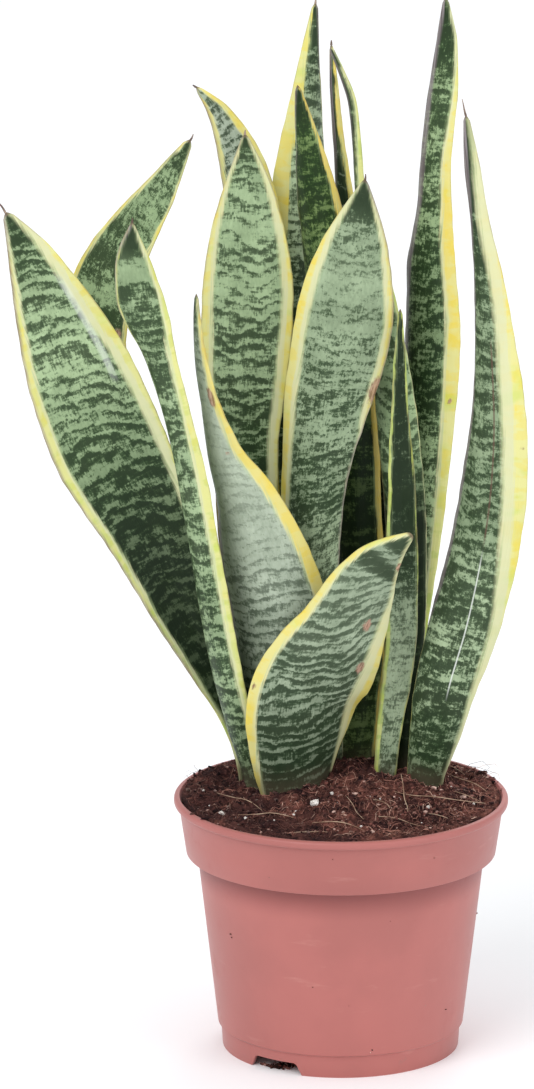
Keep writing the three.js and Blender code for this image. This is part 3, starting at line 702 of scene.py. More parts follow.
# Relief of the peat: how fine the noise is, its shift, then its height in mm.
PEAT_RELIEF = (
    (70, (0, 0, 0), 2.8),
    (160, (9, 2, 0), 1.3),
    (380, (1, 5, 0), 2.1),
    (850, (0, 0, 0), 1.1),
)
CLODS = SimpleNamespace(fine=240, middle=0.55, height=1.4)
RELIEF_LIFT = 0.9

# Tints of the peat; the near-black one is painted shade in its crevices.
PEAT_TINTS = SimpleNamespace(
    fine=(0.30, 0.125, 0.105), strand=(0.44, 0.25, 0.20), crevice_shade=(0.008, 0.004, 0.005),
    wet=(0.014, 0.007, 0.009))
CRUMB_TONES = ((0.010, 0.005, 0.006), (0.205, 0.078, 0.064), (0.68, 0.46, 0.39))
THREAD_TONES = ((0.06, 0.019, 0.018), (0.43, 0.20, 0.15), (0.74, 0.49, 0.38))
ROOTLET_TONES = ((0.28, 0.16, 0.10), (0.56, 0.40, 0.28))
GRAIN_TONES = ((0.52, 0.46, 0.42), (0.86, 0.82, 0.78))


def peat_height(peat, x, y):
    """Height of the peat at a place measured from the pot's axis."""
    radius = math.hypot(x, y)
    heap = MOUND.height * math.exp(
        -((x - MOUND.x) ** 2 + (y - MOUND.y) ** 2) / (2 * MOUND.spread ** 2))
    inner = 1 - fade(radius, *PEAT_FADE)
    spot = Vector((x, y, 0))
    lumps = sum(noise.noise(spot * fine + Vector(shift)) * height for fine, shift, height in PEAT_RELIEF)
    ridge = (CLODS.middle - noise.voronoi(spot * CLODS.fine)[0][0]) * CLODS.height
    edge = 1 - PEAT_EDGE.calming * fade(radius, PEAT_EDGE.calm, PEAT_EDGE.wall)
    rise = PEAT_EDGE.rise * fade(radius, PEAT_EDGE.low, PEAT_EDGE.high)
    return peat.level + inner * heap + (rise + edge * (lumps + ridge + RELIEF_LIFT)) * MM


def damp_patches(finish, place):
    """Where the peat, its crumbs and its threads are dark with water, more so on the left."""
    cloud = finish.noise(place, 85, 3, 0.6, shift=(2, 4, 1))
    pools = finish.noise(place, 170, 3, 0.6, shift=(6, 1, 3))
    side = finish.parts(place)[0] - AXIS.x
    patches = (cloud - side * 1.8).step(0.45, 0.62)
    return (patches + (pools - side * 1.4).step(0.5, 0.62) * 0.8).at_most(1)


def peat_finish(peat):
    finish = Finish("peat")
    place = finish.place()
    clods = finish.cells(place, 420)
    cloud = finish.noise(place, 60, 5, 0.6)
    fine = finish.noise(place, 900, 4, 0.7)
    strands = finish.noise(place, (260, 1500, 700), 3, 0.6)
    # The near-black between the clods' cells is painted shade of the crevices between them.
    base = finish.coats(
        peat.dark,
        (cloud.step(0.35, 0.7), peat.light),
        (fine.step(0.5, 0.68) * 0.75, PEAT_TINTS.fine),
        (strands.step(0.6, 0.7) * 0.7, PEAT_TINTS.strand),
        (clods.step(0.45, 0.9) * 0.75, PEAT_TINTS.crevice_shade),
        (damp_patches(finish, place) * 0.62, PEAT_TINTS.wet))
    relief = finish.bump(clods, 0.6 * MM, 0.6, finish.bump(fine, 0.5 * MM, 0.9))
    finish.set(Base_Color=base, Roughness=0.88, Normal=relief, Specular_IOR_Level=0.1)
    return finish.material


class PLANT_OT_peat(bpy.types.Operator):
    """Fills the pot with peat: a fine uneven top over the plain fill."""
    bl_idname = "plant.peat"
    bl_label = "Peat"

    def execute(self, context):
        peat, pot = context.scene.plant_peat, context.scene.plant_pot
        edge = wall_radius(pot, POT_BAND.top) - pot.wall - PEAT_GAP
        cells = int(2 * edge / peat.cell)
        clear_selection()
        bpy.ops.mesh.primitive_grid_add(
            x_subdivisions=cells, y_subdivisions=cells, size=2 * edge, location=(AXIS.x, AXIS.y, peat.level))
        piece = context.object
        piece.name = "peat_fill"
        settle(piece)
        self.trim(piece, edge)
        self.wall_in(piece, pot, edge, peat.level)
        self.raise_top(piece, peat)
        finish_piece(piece, peat_finish(peat), "peat", "soil")
        return {"FINISHED"}

    def trim(self, piece, edge):
        """Cuts the square grid round and draws its border out to the wall."""
        shape = bmesh.new()
        shape.from_mesh(piece.data)
        outside = [v for v in shape.verts if (v.co - AXIS).xy.length > edge * PEAT_TRIM]
        bmesh.ops.delete(shape, geom=outside, context="VERTS")
        lone = [v for v in shape.verts if len(v.link_faces) < 2]
        bmesh.ops.delete(shape, geom=lone, context="VERTS")
        for vert in shape.verts:
            if vert.is_boundary:
                vert.co.xy = AXIS.xy + (vert.co - AXIS).xy.normalized() * edge
        shape.to_mesh(piece.data)
        shape.free()

    def wall_in(self, piece, pot, radius, height):
        """Draws the border down inside the wall from that radius and height, and closes the bottom."""
        select_only([piece])
        bpy.ops.object.mode_set(mode="EDIT")
        bpy.ops.mesh.select_mode(type="EDGE")
        bpy.ops.mesh.select_all(action="DESELECT")
        bpy.ops.mesh.select_non_manifold()
        path = inside_wall(pot, PEAT_GAP)
        bottom = (path[0][0] - 1 * MM, POT_FLOOR.top + PEAT_GAP)
        for next_radius, target in [*reversed(path[:-1]), bottom]:
            bpy.ops.mesh.extrude_region_move(TRANSFORM_OT_translate={"value": (0, 0, target - height)})
            share = next_radius / radius
            bpy.ops.transform.resize(value=(share, share, 1), center_override=AXIS)
            radius, height = next_radius, target
        bpy.ops.mesh.edge_face_add()
        bpy.ops.mesh.select_all(action="SELECT")
        bpy.ops.mesh.normals_make_consistent(inside=False)
        bpy.ops.object.mode_set(mode="OBJECT")

    def raise_top(self, piece, peat):
        for vert in piece.data.vertices:
            if vert.co.z > peat.level - TINY:
                vert.co.z = peat_height(peat, *(vert.co - AXIS).xy)
        select_only([piece])
        bpy.ops.object.shade_smooth()


def tone_each(piece, draw, points):
    """Gives each run of that many points, one crumb or thread, a tone of its own from 0 to 1."""
    tones = [draw.random() for _ in range(len(piece.data.vertices) // points)]
    layer = piece.data.attributes.new("tone", "FLOAT_VECTOR", "POINT")
    layer.data.foreach_set("vector", np.repeat(tones, 3 * points).astype(np.float32))


def tone_finish(name, dark, middle, light):
    """A crumbly finish whose colour follows each crumb's or thread's own tone."""
    finish = Finish(name)
    _, (tone, _, _) = finish.attribute("tone")
    place = finish.place()
    grit = finish.noise(place, 1300, 3, 0.7)
    base = finish.coats(
        dark,
        (tone.step(0.1, 0.7), middle),
        (tone.step(0.8, 1), light),
        (grit.step(0.45, 0.7) * 0.25, middle),
        (damp_patches(finish, place) * 0.75, dark))
    finish.set(Base_Color=base, Roughness=0.9, Normal=finish.bump(grit, 0.3 * MM, 0.8),
               Specular_IOR_Level=0.1)
    return finish.material


def random_place(draw, reach):
    """A place on the peat, measured from the pot's axis."""
    radius, turn = reach * math.sqrt(draw.random()), draw.uniform(0, 2 * math.pi)
    return radius * math.cos(turn), radius * math.sin(turn)


# Specks of peat that stick to the front of the pot: x from the axis, height and half size, in mm.
WALL_SPECKS = (
    (38, 97.4, 0.45), (-46, 57.7, 0.5), (-45.6, 56.4, 0.35), (35, 28.8, 0.4), (43.5, 23.7, 0.45),
    (12.8, 12.4, 0.5), (57, 57, 0.5), (12, 11.4, 0.4), (-12, 41, 0.3), (20, 70, 0.25), (-30, 90, 0.3),
    (3, 33, 0.25), (-4, 100.5, 0.3),
)

# Crumbs on the lip: how many, where two heaps lie round it as heading and spread in degrees, and how far
# inside the rim they lie, in mm.
LIP_CRUMBS = SimpleNamespace(count=90, heaps=((27, 7), (157, 8)), inside=(1.6, 4.6))

# Crumbs in the front drain notch: how many, where, how far from the axis they may lie, and half size, in mm.
NOTCH_CRUMBS = SimpleNamespace(count=110, x=(-35, -19), y=(-39, -31), reach=46.5, half=(0.3, 0.9), up=0.5)


class CrumbHeap:
    """Crumbs for one mesh, each of them a small ball that is stretched and dented by random draws."""

    def __init__(self, draw):
        self.draw = draw
        self.vertices, self.faces = [], []
        clear_selection()
        bpy.ops.mesh.primitive_ico_sphere_add(subdivisions=1, radius=1, location=(0, 0, 0))
        ball = bpy.context.object
        self.corners = np.array([vert.co for vert in ball.data.vertices])
        self.sides = [tuple(side.vertices) for side in ball.data.polygons]
        bpy.data.objects.remove(ball)

    def add(self, x, y, z, size):
        """Adds a crumb at a place measured from the pot's axis."""
        uniform = self.draw.uniform
        stretch = np.array([uniform(0.7, 2.0), uniform(0.5, 1.1), uniform(0.4, 0.9)]) * size
        turn = uniform(0, math.pi)
        cos, sin = math.cos(turn), math.sin(turn)
        rough = np.array([uniform(0.5, 1.35) for _ in self.corners])
        shape = self.corners * stretch * rough[:, None]
        shape = shape @ np.array([[cos, sin, 0], [-sin, cos, 0], [0, 0, 1]])
        corners = map(tuple, shape + np.array([AXIS.x + x, AXIS.y + y, z]))
        append_shape(self.vertices, self.faces, corners, self.sides)


class PLANT_OT_crumbs(bpy.types.Operator):
    """Scatters loose crumbs on the peat, the lip, the wall and in the drain notch."""
    bl_idname = "plant.crumbs"
    bl_label = "Crumbs"

    def execute(self, context):
        peat, pot = context.scene.plant_peat, context.scene.plant_pot
        draw = random.Random(11)
        heap = CrumbHeap(draw)
        self.on_peat(heap, draw, peat, pot)
        self.on_lip(heap, draw, pot)
        for x, z, half in WALL_SPECKS:
            front = math.sqrt(wall_radius(pot, z * MM) ** 2 - (x * MM) ** 2)
            heap.add(x * MM, -front, z * MM, half * MM)
        self.in_notch(heap, draw)
        piece = new_piece("peat_crumbs", heap.vertices, heap.faces)
        tone_each(piece, draw, len(heap.corners))
        finish_piece(piece, tone_finish("peat_crumb", *CRUMB_TONES), "peat")
        return {"FINISHED"}

    def on_peat(self, heap, draw, peat, pot):
        reach = wall_radius(pot, POT_BAND.top) - pot.wall - 2 * MM
        for _ in range(peat.crumbs):
            x, y = random_place(draw, reach)
            size = MM * (0.25 + 0.75 * draw.random() ** 3)
            heap.add(x, y, peat_height(peat, x, y) + 0.3 * size, size)

    def on_lip(self, heap, draw, pot):
        for _ in range(LIP_CRUMBS.count):
            headings = [draw.gauss(*spot) for spot in LIP_CRUMBS.heaps] + [draw.uniform(0, 360)]
            turn = math.radians(draw.choice(headings))
            radius = pot.rim / 2 - draw.uniform(*LIP_CRUMBS.inside) * MM
            size = MM * (0.2 + 0.9 * draw.random() ** 2)
            heap.add(radius * math.cos(turn), radius * math.sin(turn), pot.height + 0.4 * size, size)

    def in_notch(self, heap, draw):
        for _ in range(NOTCH_CRUMBS.count):
            x, y = draw.uniform(*NOTCH_CRUMBS.x), draw.uniform(*NOTCH_CRUMBS.y)
            inward = min(1, NOTCH_CRUMBS.reach / math.hypot(x, y)) * MM
            heap.add(x * inward, y * inward, NOTCH_CRUMBS.up * MM, MM * draw.uniform(*NOTCH_CRUMBS.half))


# Pale grains in the peat: x and y from the pot's axis and half size, in mm.
GRAINS = (
    (-11, -22, 2.0), (-50, -30, 1.35), (-46, -12, 0.8), (-4, -12, 0.9), (-40, -38, 0.7), (20, -36, 0.7),
    (36, -25, 0.8), (8, -46, 0.6), (52, 8, 0.7), (-30, -47, 0.6), (43, 34, 0.9), (-58, 6, 0.8),
    (-8, 55, 1.2), (25, 52, 0.8), (-36, 46, 1.0), (55, -18, 0.6), (2, -56, 0.5), (-20, -33, 0.6),
    (-19, -26, 0.45), (-2, -19, 0.35), (12, -14, 0.4), (16, -21, 0.35), (24, -12, 0.4), (40, -13, 0.4),
    (33, -40, 0.3), (-10, -42, 0.35), (5, -33, 0.35), (-28, -40, 0.4), (48, -28, 0.35), (-55, -18, 0.4),
    (46, -4, 0.35), (54, 20, 0.35),
)


class PLANT_OT_grains(bpy.types.Operator):
    """Lays white mineral grains in the peat."""
    bl_idname = "plant.grains"
    bl_label = "Grains"

    def execute(self, context):
        peat = context.scene.plant_peat
        grains = []
        for index, (x, y, half) in enumerate(GRAINS):
            half = half * MM
            up = peat_height(peat, x * MM, y * MM) + 0.35 * half
            middle = AXIS + Vector((x * MM, y * MM, up))
            clear_selection()
            bpy.ops.mesh.primitive_ico_sphere_add(subdivisions=2, radius=half, location=middle)
            grain = context.object
            settle(grain)
            for vert in grain.data.vertices:
                arm = vert.co - middle
                swell = 1 + 0.45 * noise.noise(arm.normalized() * 1.7 + Vector((index, 0, 0)))
                vert.co = middle + Vector((arm.x, arm.y, arm.z * 0.8)) * swell
            grains.append(grain)
        finish_piece(join(grains, "white_grains"), self.finish(), "peat")
        return {"FINISHED"}

    def finish(self):
        finish = Finish("mineral_grain")
        pits = finish.noise(finish.place(), 1400, 3)
        finish.set(Base_Color=finish.mix(pits.step(0.4, 0.6), *GRAIN_TONES), Roughness=0.9,
                   Normal=finish.bump(pits, 0.2 * MM, 0.6))
        return finish.material


# Root fibres lying on the peat: points as x, y from the pot's axis and height above the peat, in mm.
ROOTLETS = (
    ((25, -6, 9), (26, -9, 5), (26, -16, 1), (28, -25, 1), (27, -33, 0.6)),
    ((22, -8, 0.6), (29, -14, 1.2), (38, -17, 2.5), (48, -18, 3), (60, -17, 2)),
    ((2, -16, 0.5), (5, -24, 2), (6, -31, 1), (11, -38, 0.5)),
    ((-43, -33, 1), (-35, -36, 1.8), (-28, -36, 1.6), (-20, -37, 1)),
    ((-52, -4, 1), (-45, -10, 2.5), (-38, -14, 1), (-33, -20, 0.6)),
    ((44, 20, 1), (50, 12, 3), (57, 8, 3.4), (61, 1, 1.4)),
    ((30, -30, 0.4), (38, -31, 1.5), (44, -36, 0.5)),
    ((-15, -40, 0.4), (-7, -44, 1.2), (3, -45, 0.8), (9, -50, 0.3)),
    ((38, 36, 1), (47, 33, 3), (53, 26, 1)),
    ((-30, 50, 1), (-20, 56, 2), (-8, 58, 1)),
    ((10, 48, 0.5), (18, 55, 2.5), (30, 52, 1)),
    ((47, -8, 1), (53, -13, 2.4), (58, -12, 1.2)),
    ((13, -34, 0.8), (21, -37, 1.8), (30, -43, 1.2), (37, -44, 0.6)),
    ((-20, -50, 0.8), (-12, -54, 1.6), (-4, -53, 0.8)),
    ((10, -20, 0.8), (18, -25, 1.8), (20, -31, 0.8)),
)

# Fine threads that stand above the lip: x and y from the pot's axis and height above the lip, in mm.
STRAYS = (
    ((52, 38, -1), (55, 38, 2), (60, 34, 4.5), (63, 31, 2.5), (61, 30, 1)),
    ((56, 30, -1), (58, 31, 2.5), (61, 33, 3), (65, 28, 5), (67, 26, 4)),
    ((60, 24, -1), (63, 24, 2), (66, 22, 3), (67, 18, 1)),
    ((50, 42, -1), (55, 39, 1), (61, 34, 0.8), (66, 26, 1.2)),
    ((-57, 26, -1), (-60, 27, 2.5), (-62, 26, 4.6), (-61, 26, 5)),
    ((-60, 16, -1), (-64, 18, 2), (-66, 18, 4), (-64, 18, 5), (-63, 19, 4.2)),
    ((-54, 32, -1), (-57, 33, 0.8), (-62, 28, 1.5), (-66, 20, 1.2)),
)

ROOTLET_THICKNESS = 0.2 * MM
STRAY_THICKNESS = 0.09 * MM
STRAND_POINTS = 5
STRAND_SIDES = 3


def thread(points, thickness):
    """A fine tube through the points, tapering at both ends."""
    line = bpy.data.curves.new("thread", "CURVE")
    line.dimensions = "3D"
    line.bevel_depth = thickness
    line.bevel_resolution = 0
    line.resolution_u = 3
    line.use_fill_caps = True
    run = line.splines.new("NURBS")
    run.points.add(len(points) - 1)
    run.use_endpoint_u = True
    run.order_u = 3
    for place, (knot, point) in enumerate(zip(run.points, points)):
        knot.co = (*point, 1)
        knot.radius = 0.5 if place in (0, len(points) - 1) else 1
    piece = bpy.data.objects.new("thread", line)
    bpy.context.scene.collection.objects.link(piece)
    return piece


def threads_to_mesh(pieces, name):
    """Turns the threads' curves into one mesh."""
    select_only(pieces)
    bpy.ops.object.convert(target="MESH")
    return join(pieces, name)


def fibre_finish(name, dark, light):
    finish = Finish(name)
    place = finish.place()
    tone = finish.noise(place, 160, 3)
    finish.set(Base_Color=finish.mix(tone.step(0.35, 0.65), dark, light), Roughness=0.8,
               Normal=finish.bump(finish.noise(place, 2500, 2), 0.05 * MM, 0.6))
    return finish.material


class PLANT_OT_fibres(bpy.types.Operator):
    """Lays pale root fibres on the peat and mats it with fine brown threads."""
    bl_idname = "plant.fibres"
    bl_label = "Fibres"

    def execute(self, context):
        peat, pot = context.scene.plant_peat, context.scene.plant_pot
        rootlets = []
        for line in ROOTLETS:
            points = [(AXIS.x + x * MM, AXIS.y + y * MM, peat_height(peat, x * MM, y * MM) + up * MM)
                      for x, y, up in line]
            rootlets.append(thread(points, ROOTLET_THICKNESS))
        piece = threads_to_mesh(rootlets, "root_fibres")
        finish_piece(piece, fibre_finish("root_fibre", *ROOTLET_TONES), "peat")

        draw = random.Random(23)
        vertices, faces = [], []
        for line in STRAYS:
            points = [(AXIS.x + x * MM, AXIS.y + y * MM, pot.height + up * MM) for x, y, up in line]
            append_shape(vertices, faces, *self.strand(self.smooth(points), STRAY_THICKNESS))
        reach = wall_radius(pot, POT_BAND.top) - pot.wall - 1.5 * MM
        for _ in range(peat.threads):
            points = self.wander(draw, peat, reach)
            thickness = MM * (0.045 + 0.125 * draw.random() ** 2)
            append_shape(vertices, faces, *self.strand(points, thickness))
        piece = new_piece("peat_threads", vertices, faces)
        tone_each(piece, draw, STRAND_POINTS * STRAND_SIDES)
        finish_piece(piece, tone_finish("brown_thread", *THREAD_TONES), "peat")
        return {"FINISHED"}

    def wander(self, draw, peat, reach):
        """The points of a bent thread on the peat, which rises in its middle."""
        x, y = random_place(draw, reach)
        turn, bend = draw.uniform(0, 2 * math.pi), draw.gauss(0, 0.25)
        step, lift = draw.uniform(0.6, 2) * MM, draw.uniform(0.1, 1) * MM
        points = []
        for place in range(STRAND_POINTS):
            rise = lift * math.sin(math.pi * (place + 0.3) / (STRAND_POINTS - 0.4))
            points.append((AXIS.x + x, AXIS.y + y, peat_height(peat, x, y) + rise))
            x, y = x + step * math.cos(turn), y + step * math.sin(turn)
            turn += bend
            over = max(1, math.hypot(x, y) / reach)
            x, y = x / over, y / over
        return points

    def smooth(self, points):
        """As many points as a strand has, spaced along a smooth line through these points."""
        bent = spline(np.array(points), np.linspace(0, len(points) - 1, STRAND_POINTS))
        return [tuple(spot) for spot in bent]

    def strand(self, points, thickness):
        """A three-sided tube through the points, closed at its ends."""
        corners, sides = [], []
        final = len(points) - 1
        for place, point in enumerate(points):
            ahead = Vector(points[min(place + 1, final)]) - Vector(points[max(place - 1, 0)])
            across = ahead.cross(Vector((0, 0, 1))).normalized()
            upward = across.cross(ahead).normalized()
            half = thickness * (0.6 if place in (0, final) else 1)
            for side in range(STRAND_SIDES):
                angle = 2 * math.pi * side / STRAND_SIDES
                arm = across * math.cos(angle) + upward * math.sin(angle)
                corners.append(tuple(Vector(point) + arm * half))
        for place in range(final):
            for side in range(STRAND_SIDES):
                a = STRAND_SIDES * place + side
                b = STRAND_SIDES * place + (side + 1) % STRAND_SIDES
                sides.append((a, a + STRAND_SIDES, b + STRAND_SIDES, b))
        last = STRAND_SIDES * final
        sides.extend([(0, 1, 2), (last + 2, last + 1, last)])
        return corners, sides


# ---------------------------------------------------------------- leaves

SOLID_ACROSS = np.array([-1, -0.62, -0.22, 0.22, 0.62, 1])
RING = 2 * len(SOLID_ACROSS)
MARGIN_STEPS = (0, 0.05, 0.17, 0.42, 1)
MARGIN_REACH = 1.3 * MM
INNER_COLUMNS = 17
ROUND_EDGE = 0.62 * MM
TIP_ROWS = 6
TIP_NARROWING = 0.8
BLUNT_TIPS = {"leaf_front_short": 0.42}

# Relief of a blade: the groove along its midrib, its creases, its dents and the nicks in its margins.
MIDRIB = SimpleNamespace(width=1.6 * MM, depth=0.28 * MM, full_from=7 * MM)
FOLD = SimpleNamespace(width=1.3 * MM, depth=0.3 * MM, ends=15 * MM)
DENT = SimpleNamespace(depth=0.5 * MM, across=60, along=26)
NICK = 0.16 * MM

# What each point of a blade tells its finish, three numbers to an attribute.
BLADE_NUMBERS = {
    "blade_place": ("across", "along", "seed"),
    "blade_weave": ("across", "woven", "seed"),
    "blade_zone": ("rim", "phase", "cover"),
    "blade_tone": ("ground", "ink", "fold"),
    "blade_tint": ("ochre", "slate", "scar"),
    "blade_edge": ("edge", "grain", "to_tip"),
    "blade_rind": ("cream", "bloom", "crease"),
}

# What stands for no crease, and how far a crease's colour fades at its ends, in mm.
FAR_FROM_CREASE = 9.0
CREASE_ENDS = 8

# Tints of the leaves; the bright crease tint is the white of a painted glint.
LEAF_TINTS = SimpleNamespace(
    moss=(0.16, 0.24, 0.045), bottle=(0.006, 0.036, 0.003), dark_olive=(0.016, 0.034, 0.006),
    amber=(0.60, 0.43, 0.13), lime=(0.46, 0.56, 0.15), lime_spot=(0.52, 0.62, 0.11),
    cream=(0.62, 0.64, 0.42), between=(0.42, 0.52, 0.25), rind=(0.22, 0.14, 0.09),
    crease_glint=(0.74, 0.78, 0.72), dry_crease=(0.12, 0.06, 0.045),
    dry_tip=(0.12, 0.075, 0.05), soiled=(0.10, 0.075, 0.05))
# Purple-grey tones of the painted sheen at the leaves' seen edges.
SHEEN_TONES = ((0.16, 0.125, 0.135), (0.33, 0.285, 0.30))
SCAR_TONES = ((0.20, 0.10, 0.06), (0.50, 0.30, 0.22))


def blade_rings(node):
    """The rings of a leaf's solid from foot to tip, and its tip. Each ring starts at the left margin,
    runs over the upper side to the right margin and back under the lower side."""
    shape = bmesh.new()
    shape.from_mesh(node.data)
    bmesh.ops.remove_doubles(shape, verts=shape.verts, dist=0.001 * MM)
    tip = max(shape.verts, key=lambda vert: len(vert.link_edges))
    level = {tip: 0}
    front = [tip]
    while front:
        found = []
        for vert in front:
            for edge in vert.link_edges:
                other = edge.other_vert(vert)
                if other not in level:
                    level[other] = level[vert] + 1
                    found.append(other)
        front = found
    after = {}
    for face in shape.faces:
        low = max(level[vert] for vert in face.verts)
        ring = [vert for vert in face.verts if level[vert] == low]
        if len(ring) == 2:
            loops = list(face.verts)
            first = loops[(loops.index(next(v for v in loops if level[v] < low)) + 1) % 3]
            second = loops[(loops.index(first) + 1) % 3]
            after[first] = second
    count = max(level.values())
    start = {}
    for vert, depth in level.items():
        if depth > 1:
            above = [e.other_vert(vert) for e in vert.link_edges if level[e.other_vert(vert)] == depth - 1]
            if len(above) == 3:
                start[depth] = vert
                if depth == 2:
                    start[1] = next(
                        v for v in above if after[v] in above and any(after[w] == v for w in above))
    rings = []
    for depth in range(count, 0, -1):
        vert, ring = start[depth], []
        for _ in range(RING):
            ring.append(tuple(vert.co))
            vert = after[vert]
        if vert is not start[depth]:
            raise RuntimeError(f"{node.name}: a ring of the leaf's solid isn't closed")
        rings.append(ring)
    point = tuple(tip.co)
    shape.free()
    return np.array(rings), np.array(point)


def spline(values, places):
    """A smooth curve through rows of values, read at fractional row numbers."""
    last = len(values) - 1
    row = np.clip(np.floor(places).astype(int), 0, last - 1)
    part = (places - row).reshape((-1,) + (1,) * (values.ndim - 1))
    before, here = values[np.clip(row - 1, 0, last)], values[row]
    ahead, beyond = values[row + 1], values[np.clip(row + 2, 0, last)]
    return 0.5 * (2 * here + (ahead - before) * part
                  + (2 * before - 5 * here + 4 * ahead - beyond) * part ** 2
                  + (3 * here - before - 3 * ahead + beyond) * part ** 3)


def across_weights(shares):
    """Weights that carry the solid's six places across to any place across the blade."""
    weights = np.ones((*shares.shape, len(SOLID_ACROSS)))
    for place, knot in enumerate(SOLID_ACROSS):
        for other in SOLID_ACROSS:
            if other != knot:
                weights[..., place] *= (shares - other) / (knot - other)
    return weights


def ripple(seed, along, scale):
    """A smooth random curve between -1 and 1 along the leaf."""
    return np.array([noise.noise(Vector((value / scale, seed * 7.3, 0))) * 1.8 for value in along])


def way_along(middle):
    """How far each row of a blade is from its foot, along its middle."""
    spine = (middle[:, 2] + middle[:, 3]) / 2
    return np.concatenate([[0], np.cumsum(np.linalg.norm(np.diff(spine, axis=0), axis=1))])


def between_ends(along, start, stop, run):
    """1 from start to stop, and a ramp of the length run at each end."""
    return np.clip((along - start) / run, 0, 1) * np.clip((stop - along) / run, 0, 1)


class Blade:
    """The fine surface of one leaf."""

    def __init__(self, name, order, leaf):
        self.name, self.order, self.leaf = name, order, leaf
        rings, tip = blade_rings(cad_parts[name])
        upper, lower = rings[:, :RING // 2], rings[:, RING // 2:][:, ::-1]
        middle, thick = (upper + lower) / 2, upper - lower
        reach = way_along(middle)
        rows = int(reach[-1] / leaf.step)
        places = np.interp(np.linspace(0, reach[-1], rows), reach, np.arange(len(rings)))
        middle, thick = spline(middle, places), spline(thick, places)
        if name in LEANS:
            left, right = (table(LEANS[name], np.linspace(0, 1, rows), column) * MM for column in (1, 2))
            x = middle[..., 0]
            low, high = x.min(1, keepdims=True), x.max(1, keepdims=True)
            middle[..., 0] += left + (right - left) * (x - low) / (high - low)
        self.tip = tip
        self.middle, self.thick = self.grow_tip(middle, thick)
        self.along = way_along(self.middle)
        self.half = np.linalg.norm(np.diff(self.middle, axis=1), axis=2).sum(1) / 2
        at_middle = self.middle[len(self.middle) // 2]
        self.turned = at_middle[0, 0] > at_middle[-1, 0]

    def grow_tip(self, middle, thick):
        """Adds rows that narrow from the last ring to the tip."""
        last, end = middle[-1], thick[-1]
        centre = last.mean(0)
        for step in range(1, TIP_ROWS):
            share = step / TIP_ROWS
            narrow = (1 - share) ** BLUNT_TIPS.get(self.name, TIP_NARROWING)
            row = centre + (self.tip - centre) * share + (last - centre) * narrow
            middle = np.concatenate([middle, row[None]])
            thick = np.concatenate([thick, (end * narrow)[None]])
        return middle, thick

    def columns(self):
        """The share of the half width at each place across, close together at the margins."""
        reach = np.minimum(MARGIN_REACH, 0.3 * self.half)[:, None]
        half = self.half[:, None]
        left = -1 + reach * np.array(MARGIN_STEPS)[None] / half
        inner = np.linspace(-1, 1, INNER_COLUMNS)[None, 1:-1] * (1 - reach / half)
        return np.concatenate([left, inner, -left[:, ::-1]], axis=1)

    def surface(self):
        """The two sides of the blade as arrays of points, margin to margin."""
        shares = self.columns()
        weights = across_weights(shares)
        middle = np.einsum("rkj,rjc->rkc", weights, self.middle)
        thick = np.einsum("rkj,rjc->rkc", weights, self.thick)
        size = np.linalg.norm(thick, axis=2, keepdims=True)
        normal = thick / size
        half = self.half[:, None]
        away = (1 - np.abs(shares)) * half
        rounding = np.sqrt(np.clip(1 - (1 - np.clip(away / ROUND_EDGE, 0, 1)) ** 2, 0, 1))
        share = (self.along / self.along[-1])[:, None]
        grow = np.clip(share * 6, 0, 1) * np.clip((1 - share) * 12, 0, 1)
        outward = np.gradient(middle, axis=1)
        outward /= np.linalg.norm(outward, axis=2, keepdims=True)
        middle = middle + normal * (self.waves(shares, grow) + self.dents(shares, grow))[..., None]
        nick = ripple(self.order + 0.9, self.along, 0.006)[:, None] * NICK * grow
        middle += outward * (np.sign(shares) * np.abs(shares) ** 6 * nick)[..., None]
        gutter = self.grooves(shares)
        thickness = size[..., 0] / 2 * rounding
        upper = middle + normal * (thickness - gutter)[..., None]
        lower = middle - normal * (thickness - 0.5 * gutter)[..., None]
        return shares, upper, lower

    def waves(self, shares, grow):
        """How far the margins wave out of the blade."""
        left, right = (
            ripple(self.order + a, self.along, long) + 0.5 * ripple(self.order + b, self.along, short)
            for a, long, b, short in ((0, 0.021, 0.4, 0.008), (0.7, 0.024, 0.2, 0.009)))
        lean = np.where(shares < 0, left[:, None], right[:, None])
        return lean * np.abs(shares) ** 3 * self.leaf.wave * grow

    def dents(self, shares, grow):
        """How far broad dents lift the blade or let it down."""
        spots = shares * self.half[:, None] * DENT.across
        return np.array([
            [noise.noise(Vector((spot, along * DENT.along, self.order * 3.1))) for spot in row]
            for row, along in zip(spots, self.along)]) * DENT.depth * grow

    def grooves(self, shares):
        """How deep the midrib and the creases lie."""
        half = self.half[:, None]
        gutter = np.exp(-(shares * half / MIDRIB.width) ** 2) * MIDRIB.depth
        gutter *= np.clip(half / MIDRIB.full_from, 0, 1)
        for start, stop, side, _, _ in CREASES.get(self.name, ()):
            ends = between_ends(self.along, start * MM, stop * MM, FOLD.ends)[:, None]
            off = (shares - (-side if self.turned else side)) * half / FOLD.width
            gutter += np.exp(-off ** 2) * ends * FOLD.depth
        return gutter

    def build(self):
        shares, upper, lower = self.surface()
        rows, columns = shares.shape
        ring = np.concatenate([upper, lower[:, 1:-1][:, ::-1]], axis=1)
        size = ring.shape[1]
        vertices = np.concatenate([ring.reshape(-1, 3), self.tip[None]])
        across = np.concatenate([shares, shares[:, 1:-1][:, ::-1]], axis=1)
        number = np.arange(rows * size).reshape(rows, size)
        ahead = np.roll(number, -1, axis=1)
        quads = np.stack([number[:-1], ahead[:-1], ahead[1:], number[1:]], axis=2).reshape(-1, 4)
        faces = [tuple(q) for q in quads.tolist()]
        tip = rows * size
        faces += [(int(a), int(b), tip) for a, b in zip(number[-1], ahead[-1])]
        faces += self.foot_faces(columns, size)
        piece = new_piece(self.name + "_blade", vertices.tolist(), faces)
        self.paint(piece, across)
        select_only([piece])
        bpy.ops.object.shade_smooth()
        return piece

